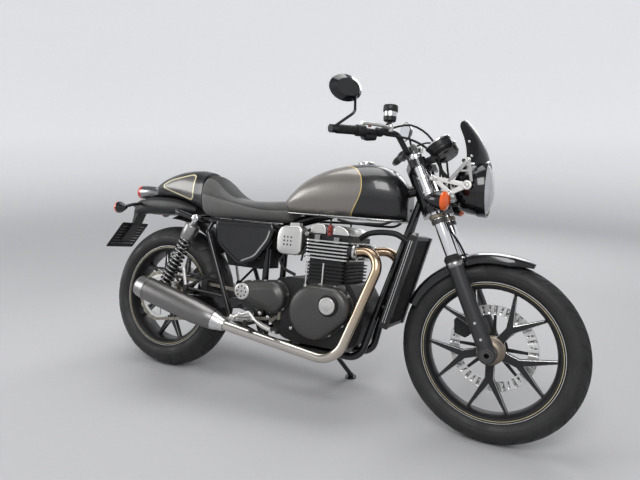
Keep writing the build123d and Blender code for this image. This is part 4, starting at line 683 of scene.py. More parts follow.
# %% Stitches by Geometry Nodes
def along_curve(name, route, model, spacing, paint, size=1.0, closed=False):
    """Copies of a small mesh at equal steps along a route of upright points, as one plain mesh.

    The copy's Z runs along the route and its Y stays across the machine.
    """
    ends = route[1:] + route[:1] if closed else route[1:]
    length = sum((Vector(b) - Vector(a)).length for a, b in zip(route, ends))
    curve = bpy.data.curves.new(name + "_route", "CURVE")
    curve.dimensions = "3D"
    line = curve.splines.new("POLY")
    line.points.add(len(route) - 1)
    for point, spot in zip(line.points, route):
        point.co = (*(park(*spot)), 1)
    line.use_cyclic_u = closed
    holder = bpy.data.objects.new(name + "_route", curve)
    bpy.context.scene.collection.objects.link(holder)
    tree = bpy.data.node_groups.new(name, "GeometryNodeTree")
    tree.interface.new_socket("Route", in_out="INPUT", socket_type="NodeSocketGeometry")
    tree.interface.new_socket("Made", in_out="OUTPUT", socket_type="NodeSocketGeometry")
    count = tree.interface.new_socket("Count", in_out="INPUT", socket_type="NodeSocketInt")
    grow = tree.interface.new_socket("Size", in_out="INPUT", socket_type="NodeSocketFloat")
    nodes, links = tree.nodes, tree.links
    first, last = nodes.new("NodeGroupInput"), nodes.new("NodeGroupOutput")
    points = nodes.new("GeometryNodeCurveToPoints")
    points.mode = "COUNT"
    links.new(first.outputs["Route"], points.inputs["Curve"])
    links.new(first.outputs["Count"], points.inputs["Count"])
    copied = nodes.new("GeometryNodeObjectInfo")
    copied.inputs["Object"].default_value = model
    turned = nodes.new("FunctionNodeAlignRotationToVector")
    turned.axis, turned.pivot_axis = "Y", "Z"
    turned.inputs["Vector"].default_value = PARKED.to_3x3() @ Vector((0, 1, 0))
    links.new(points.outputs["Rotation"], turned.inputs["Rotation"])
    place = nodes.new("GeometryNodeInstanceOnPoints")
    links.new(points.outputs["Points"], place.inputs["Points"])
    links.new(copied.outputs["Geometry"], place.inputs["Instance"])
    links.new(turned.outputs["Rotation"], place.inputs["Rotation"])
    links.new(first.outputs["Size"], place.inputs["Scale"])
    real = nodes.new("GeometryNodeRealizeInstances")
    links.new(place.outputs["Instances"], real.inputs["Geometry"])
    painted = nodes.new("GeometryNodeSetMaterial")
    painted.inputs["Material"].default_value = paint
    links.new(real.outputs["Geometry"], painted.inputs["Geometry"])
    links.new(painted.outputs["Geometry"], last.inputs["Made"])
    maker = holder.modifiers.new("row", "NODES")
    maker.node_group = tree
    maker[count.identifier] = round(length / spacing) + (0 if closed else 1)
    maker[grow.identifier] = size
    view = holder.evaluated_get(bpy.context.evaluated_depsgraph_get())
    mesh = bpy.data.meshes.new_from_object(view)
    mesh.materials.clear()
    mesh.materials.append(paint)
    bpy.data.objects.remove(holder)
    piece = bpy.data.objects.new(name, mesh)
    bpy.context.scene.collection.objects.link(piece)
    print(name, len(mesh.polygons), "faces")
    return piece


def stamp(name, form):
    """A small mesh in millimetres about its own origin, to be copied by Geometry Nodes."""
    mesh = bpy.data.meshes.new(name)
    mesh.from_pydata([[c / 1000 for c in corner] for corner in form.corners], [], form.faces)
    work = bmesh.new()
    work.from_mesh(mesh)
    bmesh.ops.remove_doubles(work, verts=work.verts, dist=0.00001)
    bmesh.ops.recalc_face_normals(work, faces=work.faces)
    for face in work.faces:
        face.smooth = True
    for edge in work.edges:
        edge.smooth = not (len(edge.link_faces) == 2 and edge.calc_face_angle(0) > radians(38))
    work.to_mesh(mesh)
    work.free()
    return bpy.data.objects.new(name, mesh)


thread = finish("seat_thread", (0.16, 0.155, 0.15), roughness=0.8)
stitch = stamp("stitch", Form().lathe((0, 0, -2), (0, 0, 2), [(0, 0.1), (0.3, 0.45), (3.7, 0.45), (4, 0.1)],
                                      thread, steps=6))
ABOVE_SEAM, STITCH_STEP = 6, 6.0
for hand in (-1, 1):
    route = []
    for row in blend_rows(SEAT_ROWS, SEAT_STEPS)[1:-3]:
        z = seam_height(row[0]) + ABOVE_SEAM
        beside = [corner[1] for corner in shell_ring(*row, SEAT_AROUND) if abs(corner[2] - z) < SEAM_REACH]
        lean = max(beside, default=row[3])
        route.append((row[0], hand * (lean - 0.6), z))
    row_of = along_curve(f"seat_stitches_{'left' if hand > 0 else 'right'}", route, stitch, STITCH_STEP,
                         thread)
    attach(row_of, "chassis")

# %% [markdown]
# A road tyre has a round tread with slanting grooves and a plain sidewall with a few moulded rings. The
# surface is a fine grid round the axle: wherever a groove passes, the grid is pushed a little over three
# millimetres towards the axle. The pattern repeats an exact number of times, so it closes on itself.

# %% Tyre builder
GROOVE, TREAD_ACROSS, WALL_STEPS, TREAD_STEPS = 3.2, 56, 12, 600


def groove_depth(turn, y, half, count):
    """How deep the pattern is cut at a turn (0 to 1) round the tyre and a distance y from its middle."""
    cell = turn * count
    cut = 0.0
    hand = 1 if y > 0 else -1
    across = abs(y) / half
    for shift, start, end, slant, wide in ((0.0, 0.08, 0.62, 0.75, 0.085), (0.5, 0.42, 0.97, 0.45, 0.07),
                                           (0.25, 0.70, 0.99, 0.2, 0.05)):
        if start < across < end:
            wander = (cell + shift + (0.5 if hand > 0 else 0) - slant * across ** 1.4 * 1.6) % 1.0
            if min(wander, 1 - wander) < wide:
                cut = 1.0
    return cut


def tread_tyre(name, body, node, axle_x, radius, width, crown, rim_radius, rim_width, count):
    """A tyre with a grooved tread, standing for the plain solid."""
    shoulder_y = width / 2 - 2
    shoulder_r = radius - crown + sqrt(crown ** 2 - shoulder_y ** 2)
    heel_r, heel_y = rim_radius + 1, rim_width / 2 - 1
    profile = []
    for k in range(TREAD_ACROSS + 1):
        y = -shoulder_y + 2 * shoulder_y * k / TREAD_ACROSS
        profile.append((y, radius - crown + sqrt(crown ** 2 - y ** 2), True))
    side_wall = []
    for k in range(1, WALL_STEPS + 1):
        t = k / WALL_STEPS
        r = shoulder_r + (heel_r - shoulder_r) * t
        y = (shoulder_y * (1 - t) * (1 - 2 * t) + 4 * (width / 2 + 1) * t * (1 - t)
             + heel_y * t * (2 * t - 1))
        rib = 0.8 if k in (3, 4, 10) else 0.0
        side_wall.append((min(y, width / 2 + 0.5) + rib, r, False))
    inner = [(heel_y - 3, heel_r - 2, False), (0, heel_r - 6, False), (3 - heel_y, heel_r - 2, False)]
    whole = profile + side_wall + inner + [(-y, r, False) for y, r, _ in reversed(side_wall)]
    rings = []
    for n in range(TREAD_STEPS):
        turn = n / TREAD_STEPS
        ring = []
        for y, r, tread in whole:
            grooved = tread and abs(y) < shoulder_y - 1
            depth = GROOVE * groove_depth(turn, y, shoulder_y, count) if grooved else 0
            ring.append((axle_x + (r - depth) * cos(2 * pi * turn), y,
                         radius + (r - depth) * sin(2 * pi * turn)))
        rings.append(ring)
    tyre = Form().skin(rings, tyre_rubber, loop=True)
    tyre.build(name, body, node, crease=50)


FRONT_RIM, FRONT_RIM_WIDTH, REAR_RIM, REAR_RIM_WIDTH = 243, 78, 229, 117
tread_tyre("front_road_tyre", "front_wheel_set", "front_tyre", WHEELBASE, FRONT_RADIUS, width=100, crown=55,
           rim_radius=FRONT_RIM, rim_width=FRONT_RIM_WIDTH, count=30)
tread_tyre("rear_road_tyre", "rear_wheel_set", "rear_tyre", 0, REAR_RADIUS, width=150, crown=80,
           rim_radius=REAR_RIM, rim_width=REAR_RIM_WIDTH, count=28)

# %% [markdown]
# The wheels are cast in one piece and painted black, then the rim edge and the corners of the spokes are
# machined bright. Each spoke forks into a Y. A bevel modifier can give its new faces a finish of their own,
# and that is exactly what the cutter does on the real wheel: a black spoke with bright corners.

# %% Wheel builder
def spoke_outline(reach, stem, fork_at, spread, wide):
    """A forked spoke lying along +X, as (along, across) corners."""
    far_x, far_y = reach * cos(radians(spread)), reach * sin(radians(spread))
    half, root = wide / 2, stem / 2
    across = radians(spread * 1.15)
    near_y = wide * 0.62
    return [(34, -root), (fork_at * 0.62, -root * 0.74), (fork_at, -near_y - half * 0.8),
            (far_x + half * sin(across), -far_y - half * cos(across)),
            (far_x - half * sin(across), -far_y + half * cos(across)),
            (fork_at + wide * 1.5, 0),
            (far_x - half * sin(across), far_y - half * cos(across)),
            (far_x + half * sin(across), far_y + half * cos(across)),
            (fork_at, near_y + half * 0.8), (fork_at * 0.62, root * 0.74), (34, root)]


def swung(outline, turn, axle_x, axle_z, y):
    """A flat outline of (along, across) corners, turned about an axle and set at y."""
    return [(axle_x + u * cos(turn) - v * sin(turn), y, axle_z + u * sin(turn) + v * cos(turn))
            for u, v in outline]


SPOKE_HALF = 12.0


def cast_wheel(name, body, node, axle_x, axle_z, rim_radius, rim_width, hub_radius, hub_width,
               hub_right=0.0):
    """A cast wheel of rim, five forked spokes and hub, standing for the plain solid."""
    half = rim_width / 2
    axle, left = (axle_x, 0, axle_z), (axle_x, 1, axle_z)
    rim = Form()
    well = rim_radius - 22
    rim.lathe(axle, left, [(-half, rim_radius), (-half - 0.6, rim_radius - 3),
                           (-half - 0.6, rim_radius - 9), (-half + 1, rim_radius - 17),
                           (-half + 8, rim_radius - 21), (-half + 16, well - 4), (0, well - 6),
                           (half - 16, well - 4), (half - 8, rim_radius - 21), (half - 1, rim_radius - 17),
                           (half + 0.6, rim_radius - 9), (half + 0.6, rim_radius - 3), (half, rim_radius),
                           (half - 5, rim_radius), (half - 7, rim_radius - 11), (7 - half, rim_radius - 11),
                           (5 - half, rim_radius)], satin_black, steps=120, loop=True)
    for hand in (-1, 1):
        edge = hand * (half + 0.9)
        rim.lathe(axle, left, [(edge, rim_radius - 0.6), (edge, rim_radius - 2.6),
                               (edge - hand, rim_radius - 2.6), (edge - hand, rim_radius - 0.6)],
                  bright_edge, steps=120, loop=True)
        rim.lathe(axle, left, [(edge - hand * 0.1, rim_radius - 7.5), (edge - hand * 0.1, rim_radius - 9),
                               (edge - hand, rim_radius - 9), (edge - hand, rim_radius - 7.5)],
                  gold_line, steps=120, loop=True)
    rim.build(name + "_rim", body, node)
    hub = Form()
    near, far = -hub_width / 2 - hub_right, hub_width / 2
    hub.lathe(axle, left, [(near, 13), (near, hub_radius - 12), (near + 3, hub_radius - 8),
                           (near + 9, hub_radius), (-16, hub_radius - 2), (-13, hub_radius + 3),
                           (13, hub_radius + 3), (16, hub_radius - 2), (far - 9, hub_radius),
                           (far - 3, hub_radius - 6), (far, hub_radius - 12), (far, 13)], hub_bronze,
              steps=72, loop=True)
    hub.build(name + "_hub", body)
    spokes = Form()
    spokes.finishes.append(satin_black)
    for arm in range(5):
        turn = radians(-90 + 72 * arm)
        outline = spoke_outline(well - 1, stem=42, fork_at=96, spread=17.5, wide=15)
        spokes.skin([swung(outline, turn, axle_x, axle_z, y) for y in (-SPOKE_HALF, SPOKE_HALF)],
                    satin_black)
    piece = spokes.build(name + "_spokes", body)
    piece.data.materials.append(bright_edge)
    cutter = piece.modifiers.new("cutter", "BEVEL")
    cutter.width, cutter.segments, cutter.limit_method, cutter.material = 0.0016, 2, "ANGLE", 1
    cutter.angle_limit = radians(40)


cast_wheel("front_cast_wheel", "front_wheel_set", "front_wheel", WHEELBASE, FRONT_RADIUS, FRONT_RIM,
           FRONT_RIM_WIDTH, hub_radius=46, hub_width=104)
cast_wheel("rear_cast_wheel", "rear_wheel_set", "rear_wheel", 0, REAR_RADIUS, REAR_RIM, REAR_RIM_WIDTH,
           hub_radius=56, hub_width=160, hub_right=19.5)

# %% [markdown]
# A brake disc is a steel ring drilled right through so that water and dust can leave. Each hole is cut for
# real: the ring is a lathe shape, the drills are one mesh of small cylinders, and a boolean takes them away.

# %% Drilled discs
DISC_WALL, HOLE_RADIUS, CARRIER_ARMS = 5.0, 2.9, 8


def drilled_disc(name, body, node, axle_x, axle_z, y, outer, inner, holes):
    """A brake ring with three staggered rows of holes, and the carrier that bolts it to the hub."""
    ring = Form().lathe((axle_x, y, axle_z), (axle_x, y + 1, axle_z),
                        [(0, inner), (0, outer - 1), (1, outer), (DISC_WALL - 1, outer),
                         (DISC_WALL, outer - 1), (DISC_WALL, inner)], disc_steel, steps=120, loop=True)
    drills = Form()
    band = outer - inner
    for row, share in enumerate((0.25, 0.5, 0.75)):
        for k in range(holes):
            turn = 2 * pi * (k + row / 2) / holes
            r = inner + band * share
            spot = (axle_x + r * cos(turn), y - 3, axle_z + r * sin(turn))
            drills.lathe(spot, (spot[0], spot[1] + 1, spot[2]),
                         [(0, HOLE_RADIUS), (DISC_WALL + 6, HOLE_RADIUS)], disc_steel, steps=10)
    piece = ring.build(name, body, node)
    tool = drills.build(name + "_drills", body)
    cut = piece.modifiers.new("drilled", "BOOLEAN")
    cut.operation, cut.object, cut.solver = "DIFFERENCE", tool, "EXACT"
    mesh = bpy.data.meshes.new_from_object(piece.evaluated_get(bpy.context.evaluated_depsgraph_get()))
    piece.modifiers.remove(cut)
    piece.data = mesh
    bpy.data.objects.remove(tool)
    carrier = Form()
    carrier.lathe((axle_x, y, axle_z), (axle_x, y + 1, axle_z), sleeve(30, 52, 4.4, 0.6),
                  satin_black, steps=60, loop=True)
    arm_outline = ((48, -7), (inner + 4, -5), (inner + 4, 5), (48, 7))
    for arm in range(CARRIER_ARMS):
        turn = 2 * pi * arm / CARRIER_ARMS
        carrier.skin([swung(arm_outline, turn, axle_x, axle_z, deep) for deep in (y + 0.9, y + 4.1)],
                     satin_black)
    carrier.build(name + "_carrier", body)


drilled_disc("front_drilled_disc", "front_wheel_set", "front_disc", WHEELBASE, FRONT_RADIUS, y=52,
             outer=155, inner=119, holes=20)
drilled_disc("rear_drilled_disc", "rear_wheel_set", "rear_disc", 0, REAR_RADIUS, y=80, outer=127.5,
             inner=96, holes=18)

# %% [markdown]
# The rear sprocket has teeth the chain rests on. The outline is one tooth repeated around the circle, with
# large windows between the arms. It is pushed to six millimetres thick.

# %% Rear sprocket
TEETH, TOOTH_ROOT, TOOTH_TIP, WINDOW_TOP = 42, 98.5, 104.5, 84
SPROCKET_OUT, SPROCKET_IN, ARMS, BOLT_CIRCLE = -106, -100, 6, 40
sprocket = Form()
outer_ring, inner_ring = [], []
for k in range(TEETH * 4):
    turn = 2 * pi * k / (TEETH * 4)
    r = (TOOTH_ROOT, TOOTH_TIP, TOOTH_TIP, TOOTH_ROOT)[k % 4]
    outer_ring.append((r * cos(turn), r * sin(turn)))
    inner_ring.append((WINDOW_TOP * cos(turn), WINDOW_TOP * sin(turn)))
rings = [[(u, y, REAR_RADIUS + v) for u, v in ring]
         for ring, y in ((outer_ring, SPROCKET_OUT), (outer_ring, SPROCKET_IN),
                         (inner_ring, SPROCKET_IN), (inner_ring, SPROCKET_OUT))]
sprocket.skin(rings, disc_steel, loop=True)
sprocket.lathe((0, SPROCKET_OUT, REAR_RADIUS), (0, 1, REAR_RADIUS), sleeve(14, 50, 6),
               disc_steel, steps=60, loop=True)
for arm in range(ARMS):
    turn = 2 * pi * (arm + 0.5) / ARMS
    arm_outline = ((46, -10), (87, -14), (87, 14), (46, 10))
    sprocket.skin([swung(arm_outline, turn, 0, REAR_RADIUS, y) for y in (SPROCKET_OUT, SPROCKET_IN)],
                  disc_steel)
    x, z = BOLT_CIRCLE * cos(turn), REAR_RADIUS + BOLT_CIRCLE * sin(turn)
    sprocket.lathe((x, SPROCKET_OUT, z), (x, -200, z), [(0, 0.1), (0, 6), (4, 6), (5, 0.1)], bright_edge,
                   steps=6)
sprocket.build("toothed_sprocket", "rear_wheel_set", "rear_sprocket")

# %% [markdown]
# The drive chain is a loop of equal links round two sprockets: inner and outer plates in turn, with a roller
# between. The loop's route is two straight runs and two arcs. One pair of links is drawn once, and Geometry
# Nodes set it round the loop, as many times as the pitch goes into its length.

# %% Chain
CHAIN_PITCH, CHAIN_Y, DRIVE_SHAFT = 15.875, -105.5, (588, 350)


def belt_route(near, near_radius, far, far_radius, steps):
    """Corners of a belt round two circles in side view, as (x, z)."""
    span = hypot(far[0] - near[0], far[1] - near[1])
    lie = atan2(far[1] - near[1], far[0] - near[0])
    part = acos((near_radius - far_radius) / span)
    corners = []
    for centre, radius, start, end in ((far, far_radius, lie + part, lie - part),
                                       (near, near_radius, lie - part, lie + part - 2 * pi)):
        corners += [(centre[0] + radius * cos(start + (end - start) * k / steps),
                     centre[1] + radius * sin(start + (end - start) * k / steps)) for k in range(steps + 1)]
    return corners


link = Form()
for start, ys in ((0, ((-1.5, -0.2), (5.2, 6.5))), (CHAIN_PITCH, ((-3.4, -1.9), (6.9, 8.4)))):
    outline = []
    for centre, first in ((start + CHAIN_PITCH, -pi / 2), (start, pi / 2)):
        for k in range(7):
            a = first + pi * k / 6
            outline.append((6.4 * sin(a), centre + 6.4 * cos(a)))
    for y_from, y_to in ys:
        link.block(outline, y_from, y_to, chain_steel)
    link.lathe((0, -4, start), (0, 1, start), plug(2.6, 13), chain_steel, steps=8)
    link.lathe((0, -0.2, start), (0, 1, start), plug(5, 5.4), chain_steel, steps=8)
loop = [(x, CHAIN_Y, z) for x, z in belt_route((0, REAR_RADIUS), 103, DRIVE_SHAFT, 40, 60)]
chain_links = along_curve("link_chain", loop, stamp("chain_link", link), 2 * CHAIN_PITCH, chain_steel,
                          closed=True)
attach(chain_links, "chassis")
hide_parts("chain")

# %% [markdown]
# The rear suspension units are a steel coil spring round a black damper, with a turned steel cap on top. The
# spring is a true helix: a round wire swept along points that climb as they turn.

# %% Coil springs
SHOCK_FOOT, SHOCK_TOP = Vector((38, 151, 332)), Vector((195, 151, 688))
COILS, COIL_STEPS, COIL_RADIUS, COIL_FOOT, COIL_LENGTH = 12, 20, 26, 62, 229
spring_paint = finish("spring_paint", (0.24, 0.24, 0.24), metallic=1.0, roughness=0.25)
for hand, name in ((1, "left"), (-1, "right")):
    foot = Vector((SHOCK_FOOT.x, hand * SHOCK_FOOT.y, SHOCK_FOOT.z))
    top = Vector((SHOCK_TOP.x, hand * SHOCK_TOP.y, SHOCK_TOP.z))
    run = (top - foot).normalized()
    side = run.cross(Vector((0, 1, 0))).normalized()
    out = side.cross(run)
    length = (top - foot).length
    unit = Form()
    coil = []
    for k in range(COILS * COIL_STEPS + 1):
        turn = 2 * pi * k / COIL_STEPS
        coil.append(foot + run * (COIL_FOOT + COIL_LENGTH * k / (COILS * COIL_STEPS))
                    + (side * cos(turn) + out * sin(turn)) * COIL_RADIUS)
    unit.tube(coil, 4.8, spring_paint, steps=10)
    unit.lathe(foot, top, [(14, 0.1), (14, 11), (44, 12), (48, 20), (58, 30), (62, 30), (63, 18), (180, 18),
                           (182, 9), (290, 9), (290, 0.1)], satin_black, steps=40)
    unit.lathe(foot, top, [(288, 9), (290, 31), (293, 33), (350, 33), (355, 31), (358, 22), (364, 13),
                           (length - 10, 12), (length - 10, 0.1)], satin_steel, steps=48)
    for eye, paint in ((foot, satin_black), (top, chrome)):
        unit.lathe(eye - Vector((0, 13, 0)), eye, [(0, 8.6), (0, 15), (2, 17), (24, 17), (26, 15),
                                                   (26, 8.6)], paint, steps=40, loop=True)
    for eye in (foot, top):
        face = eye + Vector((0, hand * 14, 0))
        unit.lathe(face, face + Vector((0, hand, 0)), [(0, 0.1), (0, 13), (2, 13), (3, 11), (3, 0.1)],
                   chrome, steps=30)
        unit.lathe(face, face + Vector((0, hand, 0)), [(2, 0.1), (2, 9), (9, 9), (10, 7), (10, 0.1)],
                   chrome, steps=6)
    unit.build(f"shock_{name}", "chassis", *(["shocks"] if hand > 0 else []))

# %% [markdown]
# The engine side covers are castings: a flat edge that bolts to the case, a rounded shoulder, and a face
# that swells gently towards the middle. Each is a stack of the same belt-shaped outline, stepped out and
# drawn in, so the shoulder comes from a handful of rings.

# %% Cover builder
def swollen_cover(form, near, near_radius, far, far_radius, y_from, depth, hand, paint, swell=5.0):
    """A cast cover standing on the side of the engine: belt outline, rounded shoulder and swollen face."""
    rings = []
    for inset, out in ((0, 0), (0, 0.62), (1.5, 0.76), (5, 0.88), (10, 0.955), (17, 1.0)):
        rings.append([(x, hand * (y_from + depth * out), z)
                      for x, z in belt_route(near, near_radius - inset, far, far_radius - inset, 22)])
    least = min(near_radius, far_radius)
    for share in (0.35, 0.6, 0.8, 0.97):
        inset = 17 + (least - 19) * share
        rings.append([(x, hand * (y_from + depth + swell * (1 - (1 - share) ** 2)), z)
                      for x, z in belt_route(near, near_radius - inset, far, far_radius - inset, 22)])
    form.skin(rings, paint)
    flange = []
    for grow, out in ((4, -0.5), (4, 7), (3, 8), (-4, 8), (-4, -0.5)):
        flange.append([(x, hand * (y_from + out), z)
                       for x, z in belt_route(near, near_radius + grow, far, far_radius + grow, 22)])
    form.skin(flange, paint, loop=True)


covers = Form()
swollen_cover(covers, (805, 374), 102, (874, 400), 76, 130.3, 62, -1, cast_grey)
swollen_cover(covers, (614, 405), 62, (488, 412), 38, 130.3, 50, -1, cast_grey, swell=8)
swollen_cover(covers, (838, 372), 84, (868, 345), 54, 130.3, 40, 1, cast_grey)
swollen_cover(covers, (696, 410), 42, (700, 350), 36, 130.3, 40, 1, cast_grey)
covers.lathe((874, -184, 409), (874, -300, 409), [(0, 0.1), (0, 42), (13, 41), (17, 38), (17, 35), (13, 33),
                                                  (13, 0.1)], cast_dark, steps=64)
covers.lathe((874, -194, 409), (874, -300, 409), [(0, 0.1), (0, 32.5), (14, 32.5), (17, 31), (18.5, 27),
                                                  (17.5, 22), (18.5, 18), (19.5, 9), (20, 0.1)],
             brushed_alloy, steps=64)
covers.build("engine_side_covers", "chassis", "engine_covers", crease=32)

# %% [markdown]
# The oval plate on the gearbox cover is perforated. Its holes are painted shade: short dark plugs that stand
# under half a millimetre proud of the face, in place of the shade inside each hole. They read as drilled
# holes from a step away.

# %% Perforated plate
VENT_X, VENT_Z, VENT_WIDE, VENT_HIGH, HOLE_SHARE = 488, 412, 34, 33, 0.62
vents = Form()
oval = []
for k in range(48):
    turn = 2 * pi * k / 48
    oval.append((VENT_X + VENT_WIDE * cos(turn), VENT_Z + VENT_HIGH * sin(turn)))
top = [[(VENT_X + (x - VENT_X) * 0.93, -191, VENT_Z + (z - VENT_Z) * 0.95) for x, z in oval]]
vents.skin([[(x, y, z) for x, z in oval] for y in (-176, -189.5)] + top, brushed_alloy)
# Painted shade: each dark plug stands for the shade inside a hole.
for k in range(9):
    share = HOLE_SHARE if k else 0.0
    x = VENT_X + VENT_WIDE * share * cos(k * pi / 4)
    z = VENT_Z + VENT_HIGH * share * sin(k * pi / 4)
    vents.lathe((x, -191.4, z), (x, 0, z), plug(3.6, 2), gloss_black, steps=12)
vents.build("gearbox_vent", "chassis")

# %% [markdown]
# Bright hollow-headed bolts stand round the clutch and gearbox covers. Geometry Nodes set them along the
# same belt-shaped outline as the cover, one bolt about every 66 millimetres.

# %% Bolts round the covers
bolt = stamp("cover_bolt", Form().lathe((0, 3, 0), (0, 4, 0),
                                        [(0, 0.1), (0, 6.2), (-1.2, 6.8), (-6, 6.8), (-7, 6.2), (-7, 3.6),
                                         (-4, 3.4), (-4, 0.1)], bright_edge, steps=18))
for name, route in (("clutch_bolts", belt_route((805, 374), 101, (874, 400), 75, 24)),
                    ("gearbox_bolts", belt_route((614, 405), 61, (488, 412), 37, 24))):
    row = along_curve(name, [(x, -141, z) for x, z in route], bolt, 66, bright_edge, closed=True)
    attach(row, "chassis")

# %% [markdown]
# The cylinder block is finned all round. The fins of the head are machined on their outer edges, so they
# show as bright lines over a black body; the barrel fins stay dark. Each edge is a thin rounded frame laid
# round the fin it belongs to.

# %% Bright fin edges
def rounded_frame(x_from, x_to, half_y, corner, z, steps=6):
    """Corners of a rounded rectangle seen from above."""
    points = []
    for cx, cy, start in ((x_to - corner, half_y - corner, 0), (x_from + corner, half_y - corner, 90),
                          (x_from + corner, corner - half_y, 180), (x_to - corner, corner - half_y, 270)):
        points += [(cx + corner * cos(radians(start + 90 * k / steps)),
                    cy + corner * sin(radians(start + 90 * k / steps)), z) for k in range(steps + 1)]
    return points


FIN_EDGES, LOWEST_FIN, FIN_STEP = 6, 576, 13.5
fins = Form()
for row in range(FIN_EDGES):
    z = LOWEST_FIN + FIN_STEP * row
    outer, inner = (721.4, 913.6, 143.6, 26.6), (723.5, 911.5, 141.5, 24.5)
    fins.skin([rounded_frame(*outer, z - 0.1), rounded_frame(*outer, z + 5.1),
               rounded_frame(*inner, z + 5.1), rounded_frame(*inner, z - 0.1)], bright_edge, loop=True)
fins.build("fin_edges", "chassis")

# %% [markdown]
# Two cam covers sit on the head, brushed alloy with rounded tops, and between them the dark red plug cap on
# each side. The sections are drawn in side view and rounded by a bevel.

# %% Cam covers and plug caps
cams = Form()
cams.block([(735, 671), (738, 694), (745, 706), (756, 712), (790, 712), (799, 707), (804, 694), (805, 671)],
           -119, 119, brushed_alloy)
cams.block([(833, 671), (837, 700), (846, 710), (862, 710), (884, 702), (897, 692), (903, 680), (903, 671)],
           -119, 119, brushed_alloy)
cams.build("cam_boxes", "chassis", "cam_covers", bevel=5)
caps = Form()
for hand in (-1, 1):
    caps.lathe((819, hand * 112, 668), (819, hand * 112, 800),
               [(0, 0.1), (0, 11), (6, 11), (8, 8), (16, 8), (18, 10.5), (34, 10.5), (37, 8), (43, 7),
                (44, 0.1)], dark_red)
    caps.block([(768, 640), (768, 668), (790, 668), (790, 640)], hand * 126, hand * 140, satin_steel)
    caps.block([(850, 640), (850, 664), (872, 664), (872, 640)], hand * 126, hand * 140, satin_steel)
    caps.tube([(819, hand * 112, 706), (819, hand * 110, 722), (812, hand * 96, 732),
               (800, hand * 60, 738)], 4, soft_rubber)
caps.build("plug_caps", "chassis", bevel=1.2)

# %% [markdown]
# The throttle bodies wear brushed covers: a box with well rounded shoulders, wrapped over the top by a short
# lip, with a square of nine holes. The holes are painted shade: short dark plugs level with the face, in
# place of the shade inside each hole.

# %% Throttle covers
HOLE_X, HOLE_Z, HOLE_STEP = 641, 648, 15
throttles = Form()
for hand in (-1, 1):
    face = [(606, 596), (603, 640), (607, 668), (618, 686), (634, 693), (700, 695), (712, 688), (716, 676),
            (716, 596), (706, 582), (690, 578), (632, 578), (614, 584)]
    middle = (660, 636)
    rings = [[(x, hand * 96, z) for x, z in face]]
    for shrink, y in ((1.0, 138), (0.985, 144), (0.95, 148), (0.86, 150.5), (0.5, 152), (0.1, 152.4)):
        rings.append([(middle[0] + (x - middle[0]) * shrink, hand * y, middle[1] + (z - middle[1]) * shrink)
                      for x, z in face])
    throttles.skin(rings, brushed_alloy)
    # Painted shade: nine dark plugs stand for the shade inside the holes.
    for row in range(3):
        for column in range(3):
            x, z = HOLE_X + HOLE_STEP * column, HOLE_Z - HOLE_STEP * row
            throttles.lathe((x, hand * 149.6, z), (x, hand * 300, z), plug(4.6, 2.9), gloss_black, steps=14)
    throttles.block([(652, 690), (652, 706), (694, 708), (694, 692)], hand * 104, hand * 134, brushed_alloy)
    throttles.lathe((700, hand * 40, 610), (490, hand * 40, 610),
                    [(0, 22), (40, 23), (50, 27), (60, 23), (195, 24), (195, 18), (0, 18)], soft_rubber,
                    steps=32, loop=True)
    throttles.lathe((735, hand * 138, 668), (735, hand * 200, 668), [(0, 0.1), (0, 9), (8, 9), (9, 0.1)],
                    satin_steel)
throttles.build("throttle_boxes", "chassis", "throttle_covers", bevel=2.0)

# %% [markdown]
# The side panel is a moulded shield: a raised rim round a slightly hollow face. Rounding the corners of the
# outline first, then stepping it in, gives the moulded look.

# %% Outline helper
def rounded_outline(corners, radius, steps=6):
    """A side-view outline with its corners turned into arcs."""
    made = []
    for k, (x, z) in enumerate(corners):
        (px, pz), (nx, nz) = corners[k - 1], corners[(k + 1) % len(corners)]
        to_p, to_n = Vector((px - x, pz - z)), Vector((nx - x, nz - z))
        cut = min(radius, to_p.length * 0.45, to_n.length * 0.45)
        a, b = Vector((x, z)) + to_p.normalized() * cut, Vector((x, z)) + to_n.normalized() * cut
        for n in range(steps + 1):
            t = n / steps
            spot = a * (1 - t) ** 2 + Vector((x, z)) * 2 * t * (1 - t) + b * t ** 2
            made.append((spot.x, spot.y))
    return made


def drawn_in(outline, amount):
    """The outline stepped in by an amount, corner by corner."""
    count = len(outline)
    area = sum(outline[k][0] * outline[(k + 1) % count][1] - outline[(k + 1) % count][0] * outline[k][1]
               for k in range(count))
    made = []
    for k, (x, z) in enumerate(outline):
        (px, pz), (nx, nz) = outline[k - 1], outline[(k + 1) % count]
        along = Vector((nx - px, nz - pz))
        if along.length < 1e-6:
            along = Vector((1, 0))
        along.normalize()
        turn = 1 if area > 0 else -1
        made.append((x - along.y * amount * turn, z + along.x * amount * turn))
    return made


# %% Side panels
PANEL = ((282, 690), (566, 698), (578, 668), (566, 622), (506, 540), (432, 508), (408, 512), (318, 574),
         (296, 600))
panels = Form()
for hand in (-1, 1):
    outline = rounded_outline(PANEL, 22)
    rings = []
    for inset, y in ((0, 109.5), (0, 126), (2, 130), (6, 132.5), (12, 133.5), (17, 132.5), (20, 130.5),
                     (24, 130)):
        rings.append([(x, hand * y, z) for x, z in drawn_in(outline, inset)])
    panels.skin(rings, gloss_black)
panels.build("shield_panels", "chassis", "side_panels", crease=40)

# %% [markdown]
# The silencers taper up from the pipe in a bright cone, run straight as a brushed satin tube, and close with
# a stepped tail and an open bore. Turned shapes like this need only their outline.

